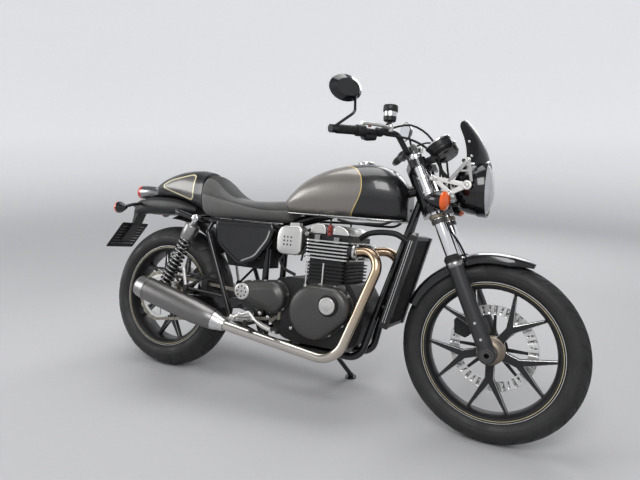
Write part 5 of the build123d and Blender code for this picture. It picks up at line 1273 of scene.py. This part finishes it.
# %% Silencers
PIPE_END, TAIL = Vector((395, -221, 283)), Vector((-18, -232, 377))
silencer_skin = finish("silencer_skin", (0.20, 0.195, 0.19), metallic=1.0, roughness=0.36,
                       streak=(300, 20, 300))
for hand, name in ((-1, "right"), (1, "left")):
    start = Vector((PIPE_END.x, -hand * PIPE_END.y, PIPE_END.z))
    end = Vector((TAIL.x, -hand * TAIL.y, TAIL.z))
    length = (end - start).length
    body = Form()
    body.lathe(start, end, [(-50, 20), (-50, 24), (-47, 25.5), (-22, 31), (-2, 37.5), (2, 38), (4, 36)],
               bright_edge, steps=64)
    body.lathe(start, end, [(4, 30), (4, 38), (8, 40), (50, 45.5), (98, 49.5), (150, 50), (352, 50),
                            (360, 49.4)], silencer_skin, steps=64)
    body.lathe(start, end, [(361, 30), (361, 50.6), (366, 50.8), (370, 49.5), (length - 22, 46),
                            (length - 13, 44), (length - 11, 42), (length - 11, 35), (length - 15, 34),
                            (length - 60, 34), (length - 60, 0.1)], satin_steel, steps=64)
    body.block([(206, 318), (214, 384), (230, 384), (240, 318)], hand * 208, hand * 214, satin_black)
    body.lathe((222, hand * 202, 392), (222, hand * 300, 392),
               [(0, 0.1), (0, 13), (14, 13), (16, 11), (16, 0.1)], satin_black)
    body.build(f"silencer_{name}", "chassis", *(["silencers"] if hand < 0 else []))

# %% [markdown]
# Each header is held to its port by a turned flange and two nuts.

# %% Exhaust flanges
rings = Form()
for hand in (-1, 1):
    port = Vector((927.3, hand * 108, 614))
    rings.lathe(port, port + Vector((1, 0, 0)), [(0, 20), (0, 33), (7, 33), (9, 31), (12, 24), (14, 23),
                                                 (14, 20)], bright_edge, steps=40, loop=True)
    for turn in (35, 215):
        spot = port + Vector((6, 30 * cos(radians(turn)), 30 * sin(radians(turn))))
        rings.lathe(spot, spot + Vector((1, 0, 0)), [(0, 0.1), (0, 5), (12, 5), (13, 0.1)], satin_steel,
                    steps=6)
rings.build("exhaust_flanges", "chassis")

# %% [markdown]
# The radiator is a black core of very fine louvres between two tanks. One louvre is a thin slanting strip;
# Geometry Nodes set it up the core at an even step.

# %% Radiator
RAD_FOOT, RAD_TOP = Vector((1062, 0, 350)), Vector((1152, 0, 699))
rise = (RAD_TOP - RAD_FOOT).normalized()
ahead = Vector((rise.z, 0, -rise.x))


def on_radiator(height, forward, y):
    """A point of the radiator: height up the core, forward of its middle plane, across."""
    return RAD_FOOT + rise * height + ahead * forward + Vector((0, y, 0))


rad_length = (RAD_TOP - RAD_FOOT).length
radiator = Form()
for hand in (-1, 1):
    radiator.skin([[on_radiator(h, f, hand * y) for f, h in ((-13, 0), (18, 0), (18, rad_length),
                                                             (-13, rad_length))] for y in (96, 121)],
                  satin_black)
    for forward in (-4, 4):
        radiator.tube([on_radiator(20, forward, hand * 121.5),
                       on_radiator(rad_length - 20, forward, hand * 121.5)], 1.6, bright_edge, steps=8)
radiator.skin([[on_radiator(h, f, y) for f, h in ((-11, 3), (8, 3), (8, rad_length - 3),
                                                  (-11, rad_length - 3))] for y in (-97, 97)], rough_black)
radiator.skin([[on_radiator(h, f, y) for f, h in ((-13, 0), (14, 0), (14, 14), (-13, 14))]
               for y in (-97, 97)], satin_black)
radiator.skin([[on_radiator(h, f, y) for f, h in ((-13, rad_length - 14), (14, rad_length - 14),
                                                  (14, rad_length), (-13, rad_length))] for y in (-97, 97)],
              satin_black)
cap_foot = on_radiator(rad_length - 4, -2, -84)
radiator.lathe(cap_foot, cap_foot + rise, [(0, 0.1), (0, 13), (8, 13), (9, 11), (15, 11), (16, 9),
                                           (16, 0.1)], satin_steel, steps=24)
radiator.build("radiator_core", "chassis", "radiator", bevel=1.5)
louvre = stamp("louvre", Form().skin([[(x, y, z) for x, z in ((-3, 0), (3, 1.6), (3, 2.2), (-3, 0.6))]
                                      for y in (-95, 95)], satin_steel))
route = [tuple(on_radiator(16, 10, 0)), tuple(on_radiator(rad_length - 16, 10, 0))]
louvres = along_curve("radiator_louvres", route, louvre, 4.2, satin_black)
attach(louvres, "chassis")

# %% [markdown]
# The headlamp is a deep spun bowl, black outside, with a silvered reflector and a domed glass. The glass is
# a shell of real thickness: light bends at both faces, which is what makes a lamp look like glass and not
# like a grey disc.

# %% Headlamp
LAMP_BACK, LAMP_FRONT = (1264, 0, 892), (1400, 0, 892)
lamp = Form()
lamp.lathe(LAMP_BACK, LAMP_FRONT, [(0, 0.1), (2, 34), (11, 60), (28, 82), (52, 95), (82, 99), (90, 100),
                                   (91, 104), (120, 105), (123, 103), (123, 98), (110, 97), (60, 92),
                                   (55, 60), (54, 0.1)], gloss_black, steps=96)
lamp.lathe(LAMP_BACK, LAMP_FRONT, [(56, 0.1), (58, 30), (66, 55), (84, 78), (110, 95), (112, 96.5),
                                   (60, 91.5), (55, 60), (55, 0.1)], chrome, steps=96)
lamp.lathe(LAMP_BACK, LAMP_FRONT, [(57, 0.1), (57, 12), (78, 12), (84, 9), (86, 0.1)], chrome, steps=32)
for hand in (-1, 1):
    lamp.lathe((1327, hand * 96, 893), (1327, hand * 200, 893), plug(10, 7), satin_black)
lamp.build("spun_headlamp", "steering", "headlamp")
glass = Form()
glass.lathe(LAMP_BACK, LAMP_FRONT, [(143, 0.1), (140, 35), (132, 66), (124, 86), (115, 96.5), (112, 93),
                                    (121, 83), (129, 64), (137, 34), (140, 0.1)], clear_lens, steps=96)
glass.build("headlamp_glass", "steering", "headlamp_lens")

# %% [markdown]
# The lamp hangs between two pierced alloy brackets. Each is made of short tapered bars between round eyes,
# the way the real plate is left when its windows are cut out.

# %% Headlamp brackets
def bar(form, start, end, half_start, half_end, y_from, y_to, paint):
    """A flat tapered bar between two points of the side view."""
    run = Vector((end[0] - start[0], end[1] - start[1])).normalized()
    out = Vector((-run.y, run.x))
    outline = [(start[0] + out.x * half_start, start[1] + out.y * half_start),
               (start[0] - out.x * half_start, start[1] - out.y * half_start),
               (end[0] - out.x * half_end, end[1] - out.y * half_end),
               (end[0] + out.x * half_end, end[1] + out.y * half_end)]
    form.block(outline, y_from, y_to, paint)


EYES = {"root": (1206, 914), "pivot": (1327, 893), "corner": (1270, 862), "top": (1326, 984),
        "foot": (1214, 862)}
BARS = (("root", "pivot", 8, 9), ("root", "corner", 7, 8), ("corner", "pivot", 8, 10),
        ("foot", "corner", 6, 7))
brackets = Form()
for hand in (-1, 1):
    near, far = hand * 108.5, hand * 114.5
    for start, end, half_start, half_end in BARS:
        bar(brackets, EYES[start], EYES[end], half_start, half_end, near, far, brushed_alloy)
    bar(brackets, (1262, 903), EYES["top"], 6, 7, near, far, satin_steel)
    bar(brackets, EYES["top"], (1342, 906), 7, 5, near, far, satin_steel)
    bar(brackets, (1296, 944), (1334, 944), 4, 4, near, far, satin_steel)
    for eye, radius in (("root", 11), ("pivot", 17), ("corner", 9), ("top", 9)):
        x, z = EYES[eye]
        brackets.lathe((x, hand * 107.5, z), (x, hand * 300, z),
                       [(0, 0.1), (0, radius), (8, radius), (9, radius - 2), (9, radius * 0.55),
                        (7, radius * 0.5), (7, 0.1)], brushed_alloy, steps=36)
        brackets.lathe((x, hand * 114, z), (x, hand * 300, z), plug(radius * 0.36, 4), bright_edge, steps=6)
brackets.build("pierced_brackets", "steering", "headlamp_brackets", bevel=1.0)

# %% [markdown]
# The fork legs stand in the two yokes. A point on a leg is found from its height, because the leg leans back
# with the rake. Chrome caps close the tubes, bronze-coloured rings mark the lower yoke, and rubber seals sit
# on the sliders.

# %% Fork details
RAKE = radians(24.3)


def on_fork(z, y):
    """A point of a fork leg's centre line at a height."""
    return Vector((WHEELBASE - (z - FRONT_RADIUS) * sin(RAKE) / cos(RAKE), y, z))


fork = Form()
for hand in (-1, 1):
    y = hand * 97.5
    up_leg = on_fork(1000, y)
    fork.lathe(on_fork(985, y), up_leg, [(0, 21), (0, 24), (10, 24), (12, 22), (13, 16), (18, 15),
                                         (19, 0.1), (0, 0.1)], chrome, steps=40)
    fork.lathe(on_fork(768, y), up_leg, [(0, 21), (0, 27), (2, 29), (13, 29), (15, 27), (15, 21)],
               hub_bronze, steps=48, loop=True)
    fork.lathe(on_fork(750, y), up_leg, [(0, 21), (0, 26), (16, 27), (16, 21)], cast_grey, steps=48,
               loop=True)
    fork.lathe(on_fork(602, y), up_leg, [(0, 28.2), (0, 29.6), (2, 30.6), (15, 30.6), (17, 29.6),
                                         (17, 28.2)], satin_steel, steps=48, loop=True)
    fork.lathe(on_fork(622, y), up_leg, [(0, 21.5), (0, 30.5), (10, 31), (14, 28), (20, 25), (22, 21.5)],
               soft_rubber, steps=48, loop=True)
    for z in (860, 910):
        fork.lathe(on_fork(z, y), up_leg, sleeve(21, 24.5, 9), brushed_alloy, steps=40, loop=True)
    fork.lathe((WHEELBASE, hand * 125, FRONT_RADIUS), (WHEELBASE, hand * 400, FRONT_RADIUS),
               [(0, 8.6), (0, 24), (2, 25), (5, 23), (5, 17), (7, 16), (7, 8.6)], cast_grey, steps=40,
               loop=True)
    for z in (368, 420):
        fork.lathe(on_fork(z, hand * 122), on_fork(z, hand * 300), plug(5, 5), bright_edge, steps=6)
fork.build("fork_dressing", "steering")

# %% [markdown]
# The fly screen is a small smoked shell that wraps round the lamp at its foot and narrows to a round top.
# Every level is an arc. The radius shrinks on the way up, and so does the angle the arc covers, which
# draws the rounded top.

# %% Fly screen
smoked = finish("smoked_screen", (0.007, 0.007, 0.008), roughness=0.25, coat=0.2, shine=0.3)
screen_rings = []
LEVELS, ACROSS = 30, 28


def on_screen(level, turn, inward=0.0):
    """A point of the screen at a level (0 foot, 1 top) and an angle round it."""
    round_radius = 104 - 45 * level
    centre_x = 1389 - 30 * level - 64 * level ** 2 - round_radius
    radius = round_radius - inward
    return Vector((centre_x + radius * cos(turn), radius * sin(turn), 978 + 171 * level))


for k in range(LEVELS + 1):
    level = k / LEVELS
    reach = radians(72) * sqrt(max(0.004, 1 - max(0, (level - 0.6) / 0.4) ** 3.6))
    turns = [reach * (2 * n / ACROSS - 1) for n in range(ACROSS + 1)]
    screen_rings.append([on_screen(level, turn) for turn in turns]
                        + [on_screen(level, turn, 4) for turn in reversed(turns)])
screen = Form().skin(screen_rings, smoked)
for hand in (-1, 1):
    for level in (0.14, 0.46):
        spot, inside = on_screen(level, hand * radians(62)), on_screen(level, hand * radians(62), 30)
        screen.lathe(spot, spot + (spot - inside), [(-6, 0.1), (-6, 5), (1.5, 5), (3, 3.5), (3, 0.1)],
                     bright_edge, steps=16)
    tab = on_screen(0.02, hand * radians(76), 2)
    screen.lathe(tab, tab + Vector((0, hand, 0)), plug(7, 13, -3), satin_black, steps=16)
screen.build("wrapped_screen", "steering", "fly_screen")

# %% [markdown]
# The dials are two turned cups with chrome bezels. The marks round each face are short thin bars along a
# circle; no figures are shown, since the machine carries no lettering.

# %% Dials
dial_up = Vector((-sin(radians(37)), 0, cos(radians(37))))
dial_side = dial_up.cross(Vector((0, 1, 0)))
MARKS = 24
dials = Form()
for hand in (-1, 1):
    face = Vector((1200, hand * 58, 1052))
    dials.lathe(face - dial_up * 46, face, [(0, 0.1), (0, 32), (4, 39), (14, 46), (38, 48), (38, 44),
                                            (40, 0.1)], satin_black, steps=64)
    dials.lathe(face - dial_up * 4, face, [(0, 45), (0, 50.5), (1, 51.5), (4, 51.5), (6, 49), (6, 45)],
                chrome, steps=64, loop=True)
    dials.lathe(face - dial_up * 6, face, plug(45.5, 1), dial_black, steps=48)
    for mark in range(MARKS + 1):
        turn = radians(-40 + 260 * mark / MARKS)
        out = dial_side * -cos(turn) + Vector((0, 1, 0)) * sin(turn)
        long = 8 if mark % 4 == 0 else 4
        spot = face - dial_up * 4.9
        dials.tube([spot + out * (41 - long), spot + out * 41], 0.55, dial_white, steps=4)
    spot = face - dial_up * 3.5
    dials.tube([spot, spot + dial_side * 20 + Vector((0, -hand * 26, 0))], 0.9, orange_lens, steps=6)
    dials.lathe(face - dial_up * 5, face, plug(5, 3), satin_black, steps=24)
dials.build("dial_pair", "steering")

# %% [markdown]
# At the bars: ribbed grips, levers of bare alloy, switch housings, and on the right the brake fluid cup.
# Everything is placed from the end of the bar along its own direction, so both sides come from one loop.

# %% Controls
BAR_END, BAR_BEND = Vector((917, 370, 1041)), Vector((1062, 125, 1074))
RIBS, RIB_STEP = 14, 8
controls = Form()
hand_rubber = Form()
for hand in (-1, 1):
    end = Vector((BAR_END.x, hand * BAR_END.y, BAR_END.z))
    run = (Vector((BAR_BEND.x, hand * BAR_BEND.y, BAR_BEND.z)) - end).normalized()
    ribs = [(0, 11.4), (0, 15), (3, 16.6)]
    for k in range(RIBS):
        ribs += [(offset + RIB_STEP * k, r) for offset, r in ((8, 16.6), (9.5, 15.6), (13, 15.6),
                                                              (14.5, 16.6))]
    ribs += [(120, 16.6), (121, 20), (125, 20), (125, 11.4)]
    hand_rubber.lathe(end, end + run, ribs, soft_rubber, steps=32, loop=True)
    perch = end + run * 190
    ahead = Vector((0.95, 0, 0.2))
    ahead = (ahead - run * ahead.dot(run)).normalized()
    pivot = perch + run * 14 + ahead * 56
    controls.lathe(end + run * 126, end + run, [(0, 11.4), (0, 19), (2, 21), (34, 21), (36, 19),
                                                (36, 11.4)], satin_black, steps=40, loop=True)
    controls.lathe(perch - run * 6, perch + run, sleeve(11.4, 17, 22), satin_black, steps=40, loop=True)
    controls.tube([perch + ahead * 8, pivot + ahead * 4], 10, satin_black)
    controls.lathe(pivot - Vector((0, 0, 12)), pivot + Vector((0, 0, 12)),
                   [(0, 0.1), (0, 8), (2, 9), (22, 9), (24, 8), (24, 0.1)], bright_edge, steps=24)
    lever = [pivot, pivot - run * 18 + ahead * 7, pivot - run * 45 + ahead * 15,
             pivot - run * 85 + ahead * 22, pivot - run * 120 + ahead * 25, pivot - run * 150 + ahead * 27,
             pivot - run * 158 + ahead * 31]
    controls.tube([Vector(p) for p in blend_rows([tuple(v) for v in lever], 28)], 6, brushed_alloy,
                  steps=14)
    controls.tube([end + run * 132 - Vector((6, 0, 16)), end + run * 150 - Vector((8, 0, 20)),
                   end + run * 182 - Vector((4, 0, 17))], 15, satin_black, steps=20)
    controls.lathe(end + run * 150 + Vector((0, 0, 16)), end + run * 150 + Vector((0, 0, 30)),
                   [(0, 0.1), (0, 6), (6, 6), (7, 5), (7, 0.1)], dark_red if hand < 0 else satin_black,
                   steps=20)
    if hand < 0:
        cup = perch + run * 8 + Vector((36, 0, 0))
        controls.tube([perch + run * 6 + Vector((14, 0, 8)), cup + Vector((0, 0, 30)),
                       cup + Vector((0, 0, 44))], 9, satin_black)
        for outline, paint in (([(0, 0.1), (0, 18), (4, 23), (18, 24), (19, 24)], satin_black),
                               (plug(24, 36, 19), bright_edge),
                               ([(36, 0.1), (36, 25.5), (38, 27), (58, 27), (61, 25), (62, 0.1)],
                                satin_black)):
            controls.lathe(cup + Vector((0, 0, 38)), cup + Vector((0, 0, 200)), outline, paint, steps=48)
controls.build("levers_and_cup", "steering", "hand_controls")
hand_rubber.build("ribbed_grips", "steering", "grips")

# %% [markdown]
# Each mirror gets a thin oval pane of true mirror finish, on the rider's side of its cup.

# %% Mirror glass
panes = Form()
for hand in (-1, 1):
    head = Vector((945, hand * 380, 1182))
    out, along = Vector((-0.8, hand * -0.6, 0)), Vector((0.6, hand * -0.8, 0))
    edge = [along * 62 * cos(2 * pi * k / 48) + Vector((0, 0, 44 * sin(2 * pi * k / 48)))
            for k in range(48)]
    panes.skin([[head + out * 3.5 + e for e in edge], [head + out * 4.4 + e for e in edge]], mirror_glass)
panes.build("mirror_glasses", "steering")

# %% [markdown]
# Indicators are black cones with a coloured lens: orange in front, redder behind. The lens is a shallow dome
# that stands a little proud of its cone.

# %% Indicators
blinkers = Form()
for hand in (-1, 1):
    root, head = Vector((1194, hand * 158, 833)), Vector((1300, hand * 176, 826))
    blinkers.tube([Vector((1188, hand * 116, 840)), Vector((1198, hand * 140, 837)),
                   Vector((1216, hand * 160, 834))], 8, satin_black)
    blinkers.lathe(root, head, [(0, 0.1), (0, 9), (10, 17), (26, 26), (46, 32), (62, 34), (68, 34),
                                (68, 0.1)], gloss_black, steps=48)
    blinkers.lathe(root, head, [(66, 0.1), (68, 34), (74, 34.5), (82, 29), (88, 17), (90, 0.1)],
                   orange_lens, steps=48)
blinkers.build("front_blinkers", "steering", "front_indicators")
rear_blinkers = Form()
amber = finish("amber_lens", (0.75, 0.085, 0.012), roughness=0.15, coat=0.7)
for hand in (-1, 1):
    start, back = Vector((-205, hand * 165, 710)), Vector((-268, hand * 165, 706))
    rear_blinkers.tube([Vector((-236, hand * 40, 736)), Vector((-238, hand * 96, 726)),
                        Vector((-236, hand * 150, 711))], 7.5, satin_black)
    rear_blinkers.lathe(start, back, [(0, 0.1), (0, 8), (12, 15), (34, 26), (44, 28), (44, 0.1)],
                        gloss_black, steps=48)
    rear_blinkers.lathe(start, back, [(43, 0.1), (44, 28), (50, 28), (58, 22), (63, 10), (64, 0.1)], amber,
                        steps=48)
rear_blinkers.build("rear_blinkers", "chassis", "rear_indicators")

# %% [markdown]
# The tail lamp is a bullet of dark chrome with a red glass at its end. Under the hump a black moulding
# carries it, the plate and the rear indicators; it is drawn as rounded sections that shrink backwards.

# %% Tail
bullet = Form()
smoky_chrome = finish("smoky_chrome", (0.30, 0.30, 0.30), metallic=1.0, roughness=0.2)
bullet.lathe((-140, 0, 797), (-290, 0, 793), [(0, 0.1), (0, 16), (14, 23), (40, 30), (80, 33.5), (112, 34),
                                              (116, 34), (116, 0.1)], smoky_chrome, steps=64)
bullet.lathe((-140, 0, 797), (-290, 0, 793), [(115, 0.1), (116, 33), (124, 34), (136, 31), (145, 20),
                                              (148, 0.1)], red_lens, steps=64)
bullet.build("tail_bullet", "chassis", "tail_lamp")
# x, top, bottom, half width
BEAM_ROWS = ((120, 744, 708, 66), (60, 762, 700, 70), (0, 774, 697, 68), (-60, 777, 693, 64),
             (-120, 777, 690, 58), (-170, 774, 689, 52), (-215, 764, 690, 45), (-255, 745, 684, 38),
             (-286, 718, 668, 28))
beam_rings = []
for x, top, bottom, half in blend_rows(BEAM_ROWS, 32):
    ring = []
    for k in range(32):
        turn = 2 * pi * k / 32
        y = half * abs(cos(turn)) ** 0.5 * (1 if cos(turn) > 0 else -1)
        z = (top + bottom) / 2 + (top - bottom) / 2 * abs(sin(turn)) ** 0.7 * (1 if sin(turn) > 0 else -1)
        ring.append((x, y, z))
    beam_rings.append(ring)
Form().skin(beam_rings, satin_black).build("tail_beam", "chassis")

# %% [markdown]
# The number plate is a blank pale sheet on a dark backing. Seven thin ribs cross the side that faces the
# wheel.

# %% Number plate, blank
plate_top, plate_down, plate_back = Vector((-290, 0, 636)), Vector((-0.6, 0, -0.8)), Vector((-0.8, 0, 0.6))
plate = Form()
for near, far, paint in ((0, 1.4, rough_black), (1.4, 3, plate_white)):
    outline = rounded_outline([(-90, 0), (90, 0), (90, 158), (-90, 158)], 10)
    plate.skin([[plate_top + plate_down * z + Vector((0, y, 0)) + plate_back * back for y, z in outline]
                for back in (near, far)], paint)
for row in range(7):
    spot = plate_top + plate_down * (24 + 18 * row) - plate_back * 0.8
    plate.tube([spot - Vector((0, 74, 0)), spot + Vector((0, 74, 0))], 1.3, satin_steel, steps=6)
plate.build("blank_plate", "chassis", "number_plate")

# %% [markdown]
# Hoses and cables are what makes a front end look alive. Each is a soft curve through a few points: blending
# the points first gives the bend a real rubber hose has.

# %% Hoses and cables
def hose(form, points, radius):
    """A rubber hose on a smooth curve through the points."""
    form.tube(blend_rows(points, 36), radius, soft_rubber, steps=12)


turning = Form()
hose(turning, [(1040, -190, 1075), (1120, -150, 1100), (1185, -90, 1060), (1215, -60, 970),
               (1218, -30, 860), (1238, 20, 760), (1290, 60, 680), (1330, 78, 590), (1345, 70, 470),
               (1330, 76, 420)], 4)
hose(turning, [(1020, 200, 1070), (1110, 170, 1095), (1190, 110, 1050), (1222, 60, 960), (1238, 40, 880),
               (1244, 30, 812)], 4)
hose(turning, [(1030, -170, 1060), (1110, -110, 1055), (1175, -60, 1020), (1218, -36, 950),
               (1234, -30, 880), (1240, -24, 812)], 4.5)
hose(turning, [(1262, 0, 900), (1235, 10, 930), (1205, 22, 960), (1190, 40, 1000)], 7)
turning.build("bar_cables", "steering")
fixed = Form()
hose(fixed, [(1122, -84, 676), (1080, -92, 698), (1020, -86, 700), (965, -70, 690), (930, -62, 668)], 11)
hose(fixed, [(1075, 90, 372), (1030, 110, 352), (990, 120, 350), (958, 118, 362)], 15)
hose(fixed, [(1100, 26, 800), (1040, 60, 735), (960, 86, 726), (860, 92, 728), (760, 84, 726),
             (680, 80, 722)], 5)
hose(fixed, [(1096, -28, 800), (1036, -66, 738), (960, -92, 728), (900, -100, 726), (842, -100, 735)], 5)
hose(fixed, [(640, -120, 584), (620, -128, 552), (640, -126, 520), (690, -122, 500)], 6)
hose(fixed, [(735, -128, 668), (742, -136, 640), (728, -140, 600), (716, -134, 560)], 4)
fixed.build("frame_hoses", "chassis")

# %% [markdown]
# The front mudguard is one pressed blade. Its section is an arch with short upright skirts, and it is
# carried round the axle. Ahead of the fork the crown rises a little; towards the front tip the arch narrows
# and the skirts run out, which gives the beak.

# %% Front mudguard
BLADE_STEPS, REAR_END, SWEEP, CROWN, LIFT = 60, -66, 88, 334, 13
blade_rings = []
for k in range(BLADE_STEPS + 1):
    turn = radians(REAR_END + SWEEP * k / BLADE_STEPS)
    front = max(0.0, min(1.0, (turn - radians(-38)) / radians(30)))
    crown = CROWN + LIFT * front * front * (3 - 2 * front)
    tip = max(0.0, (turn - radians(8)) / radians(14))
    half = 60 - 26 * tip ** 1.6
    skirt = 24 - 20 * tip
    section = []
    for n in range(25):
        across = -1 + n / 12
        drop = 14 * abs(across) ** 2.4 + max(0.0, (abs(across) - 0.86) / 0.14) ** 1.5 * skirt
        section.append((half * min(1.0, abs(across) * 1.1) * (1 if across > 0 else -1), crown - drop))
    section += [(y * 0.96, r - 2.6) for y, r in reversed(section)]
    blade_rings.append([(WHEELBASE + r * sin(turn), y, FRONT_RADIUS + r * cos(turn)) for y, r in section])
blade = Form().skin(blade_rings, gloss_black)
for hand in (-1, 1):
    for z in (592, 572):
        blade.tube([on_fork(z, hand * 58), on_fork(z, hand * 69)], 5, satin_black, steps=12)
        blade.lathe(on_fork(z, hand * 60), on_fork(z, hand * 100), plug(7, 4), bright_edge, steps=6)
blade.build("front_blade", "steering", "front_mudguard")

# %% [markdown]
# Small bright things at foot level catch the eye: the forged brake pedal, the pegs with their rubber, the
# long studs that hold the cylinder block down on the cases, and the plugs of the case.

# %% Pedal, pegs and studs
foot = Form()
pedal = [(469, -206, 306), (505, -207, 322), (542, -208, 333), (560, -208, 322), (590, -208, 300),
         (633, -210, 286), (676, -212, 284)]
foot.tube([Vector(p) for p in blend_rows(pedal, 30)], 7, brushed_alloy, steps=14)
foot.tube([(652, -208, 287), (690, -222, 286)], 9, soft_rubber)
for x, z, radius in ((469, 306, 12), (542, 333, 10), (505, 324, 8)):
    foot.lathe((x, -198, z), (x, -300, z), [(0, 0.1), (0, radius), (16, radius), (18, radius - 3),
                                            (18, 0.1)], brushed_alloy, steps=32)
for hand in (-1, 1):
    ribs = [(0, 0.1), (0, 9)]
    for k in range(9):
        ribs += [(4 + 9 * k, 12), (10 + 9 * k, 12), (11 + 9 * k, 10.4), (12.5 + 9 * k, 10.4)]
    foot.lathe((560, hand * 176, 304), (560, hand * 300, 304), ribs + [(86, 10), (86, 0.1)], soft_rubber,
               steps=24)
foot.build("foot_controls", "chassis")
studs = Form()
for x in (745, 815):
    for hand in (-1, 1):
        studs.tube([(x, hand * 136, 460), (x, hand * 136, 560)], 3.6, bright_edge, steps=12)
        studs.lathe((x, hand * 136, 462), (x, hand * 136, 500), plug(7.5, 9), bright_edge, steps=6)
for x, y, z, radius in ((902, -142, 470, 17), (902, -142, 470, 9), (850, -143, 300, 7), (560, -150, 330, 7),
                        (596, -146, 318, 7), (700, -141, 292, 6), (940, -120, 330, 8)):
    studs.lathe((x, y + 9, z), (x, y - 100, z), [(0, 0.1), (0, radius), (9 + radius * 0.2, radius),
                                                (10 + radius * 0.2, radius - 2), (10 + radius * 0.2, 0.1)],
                bright_edge if radius < 17 else cast_grey, steps=32)
studs.build("engine_studs", "chassis")
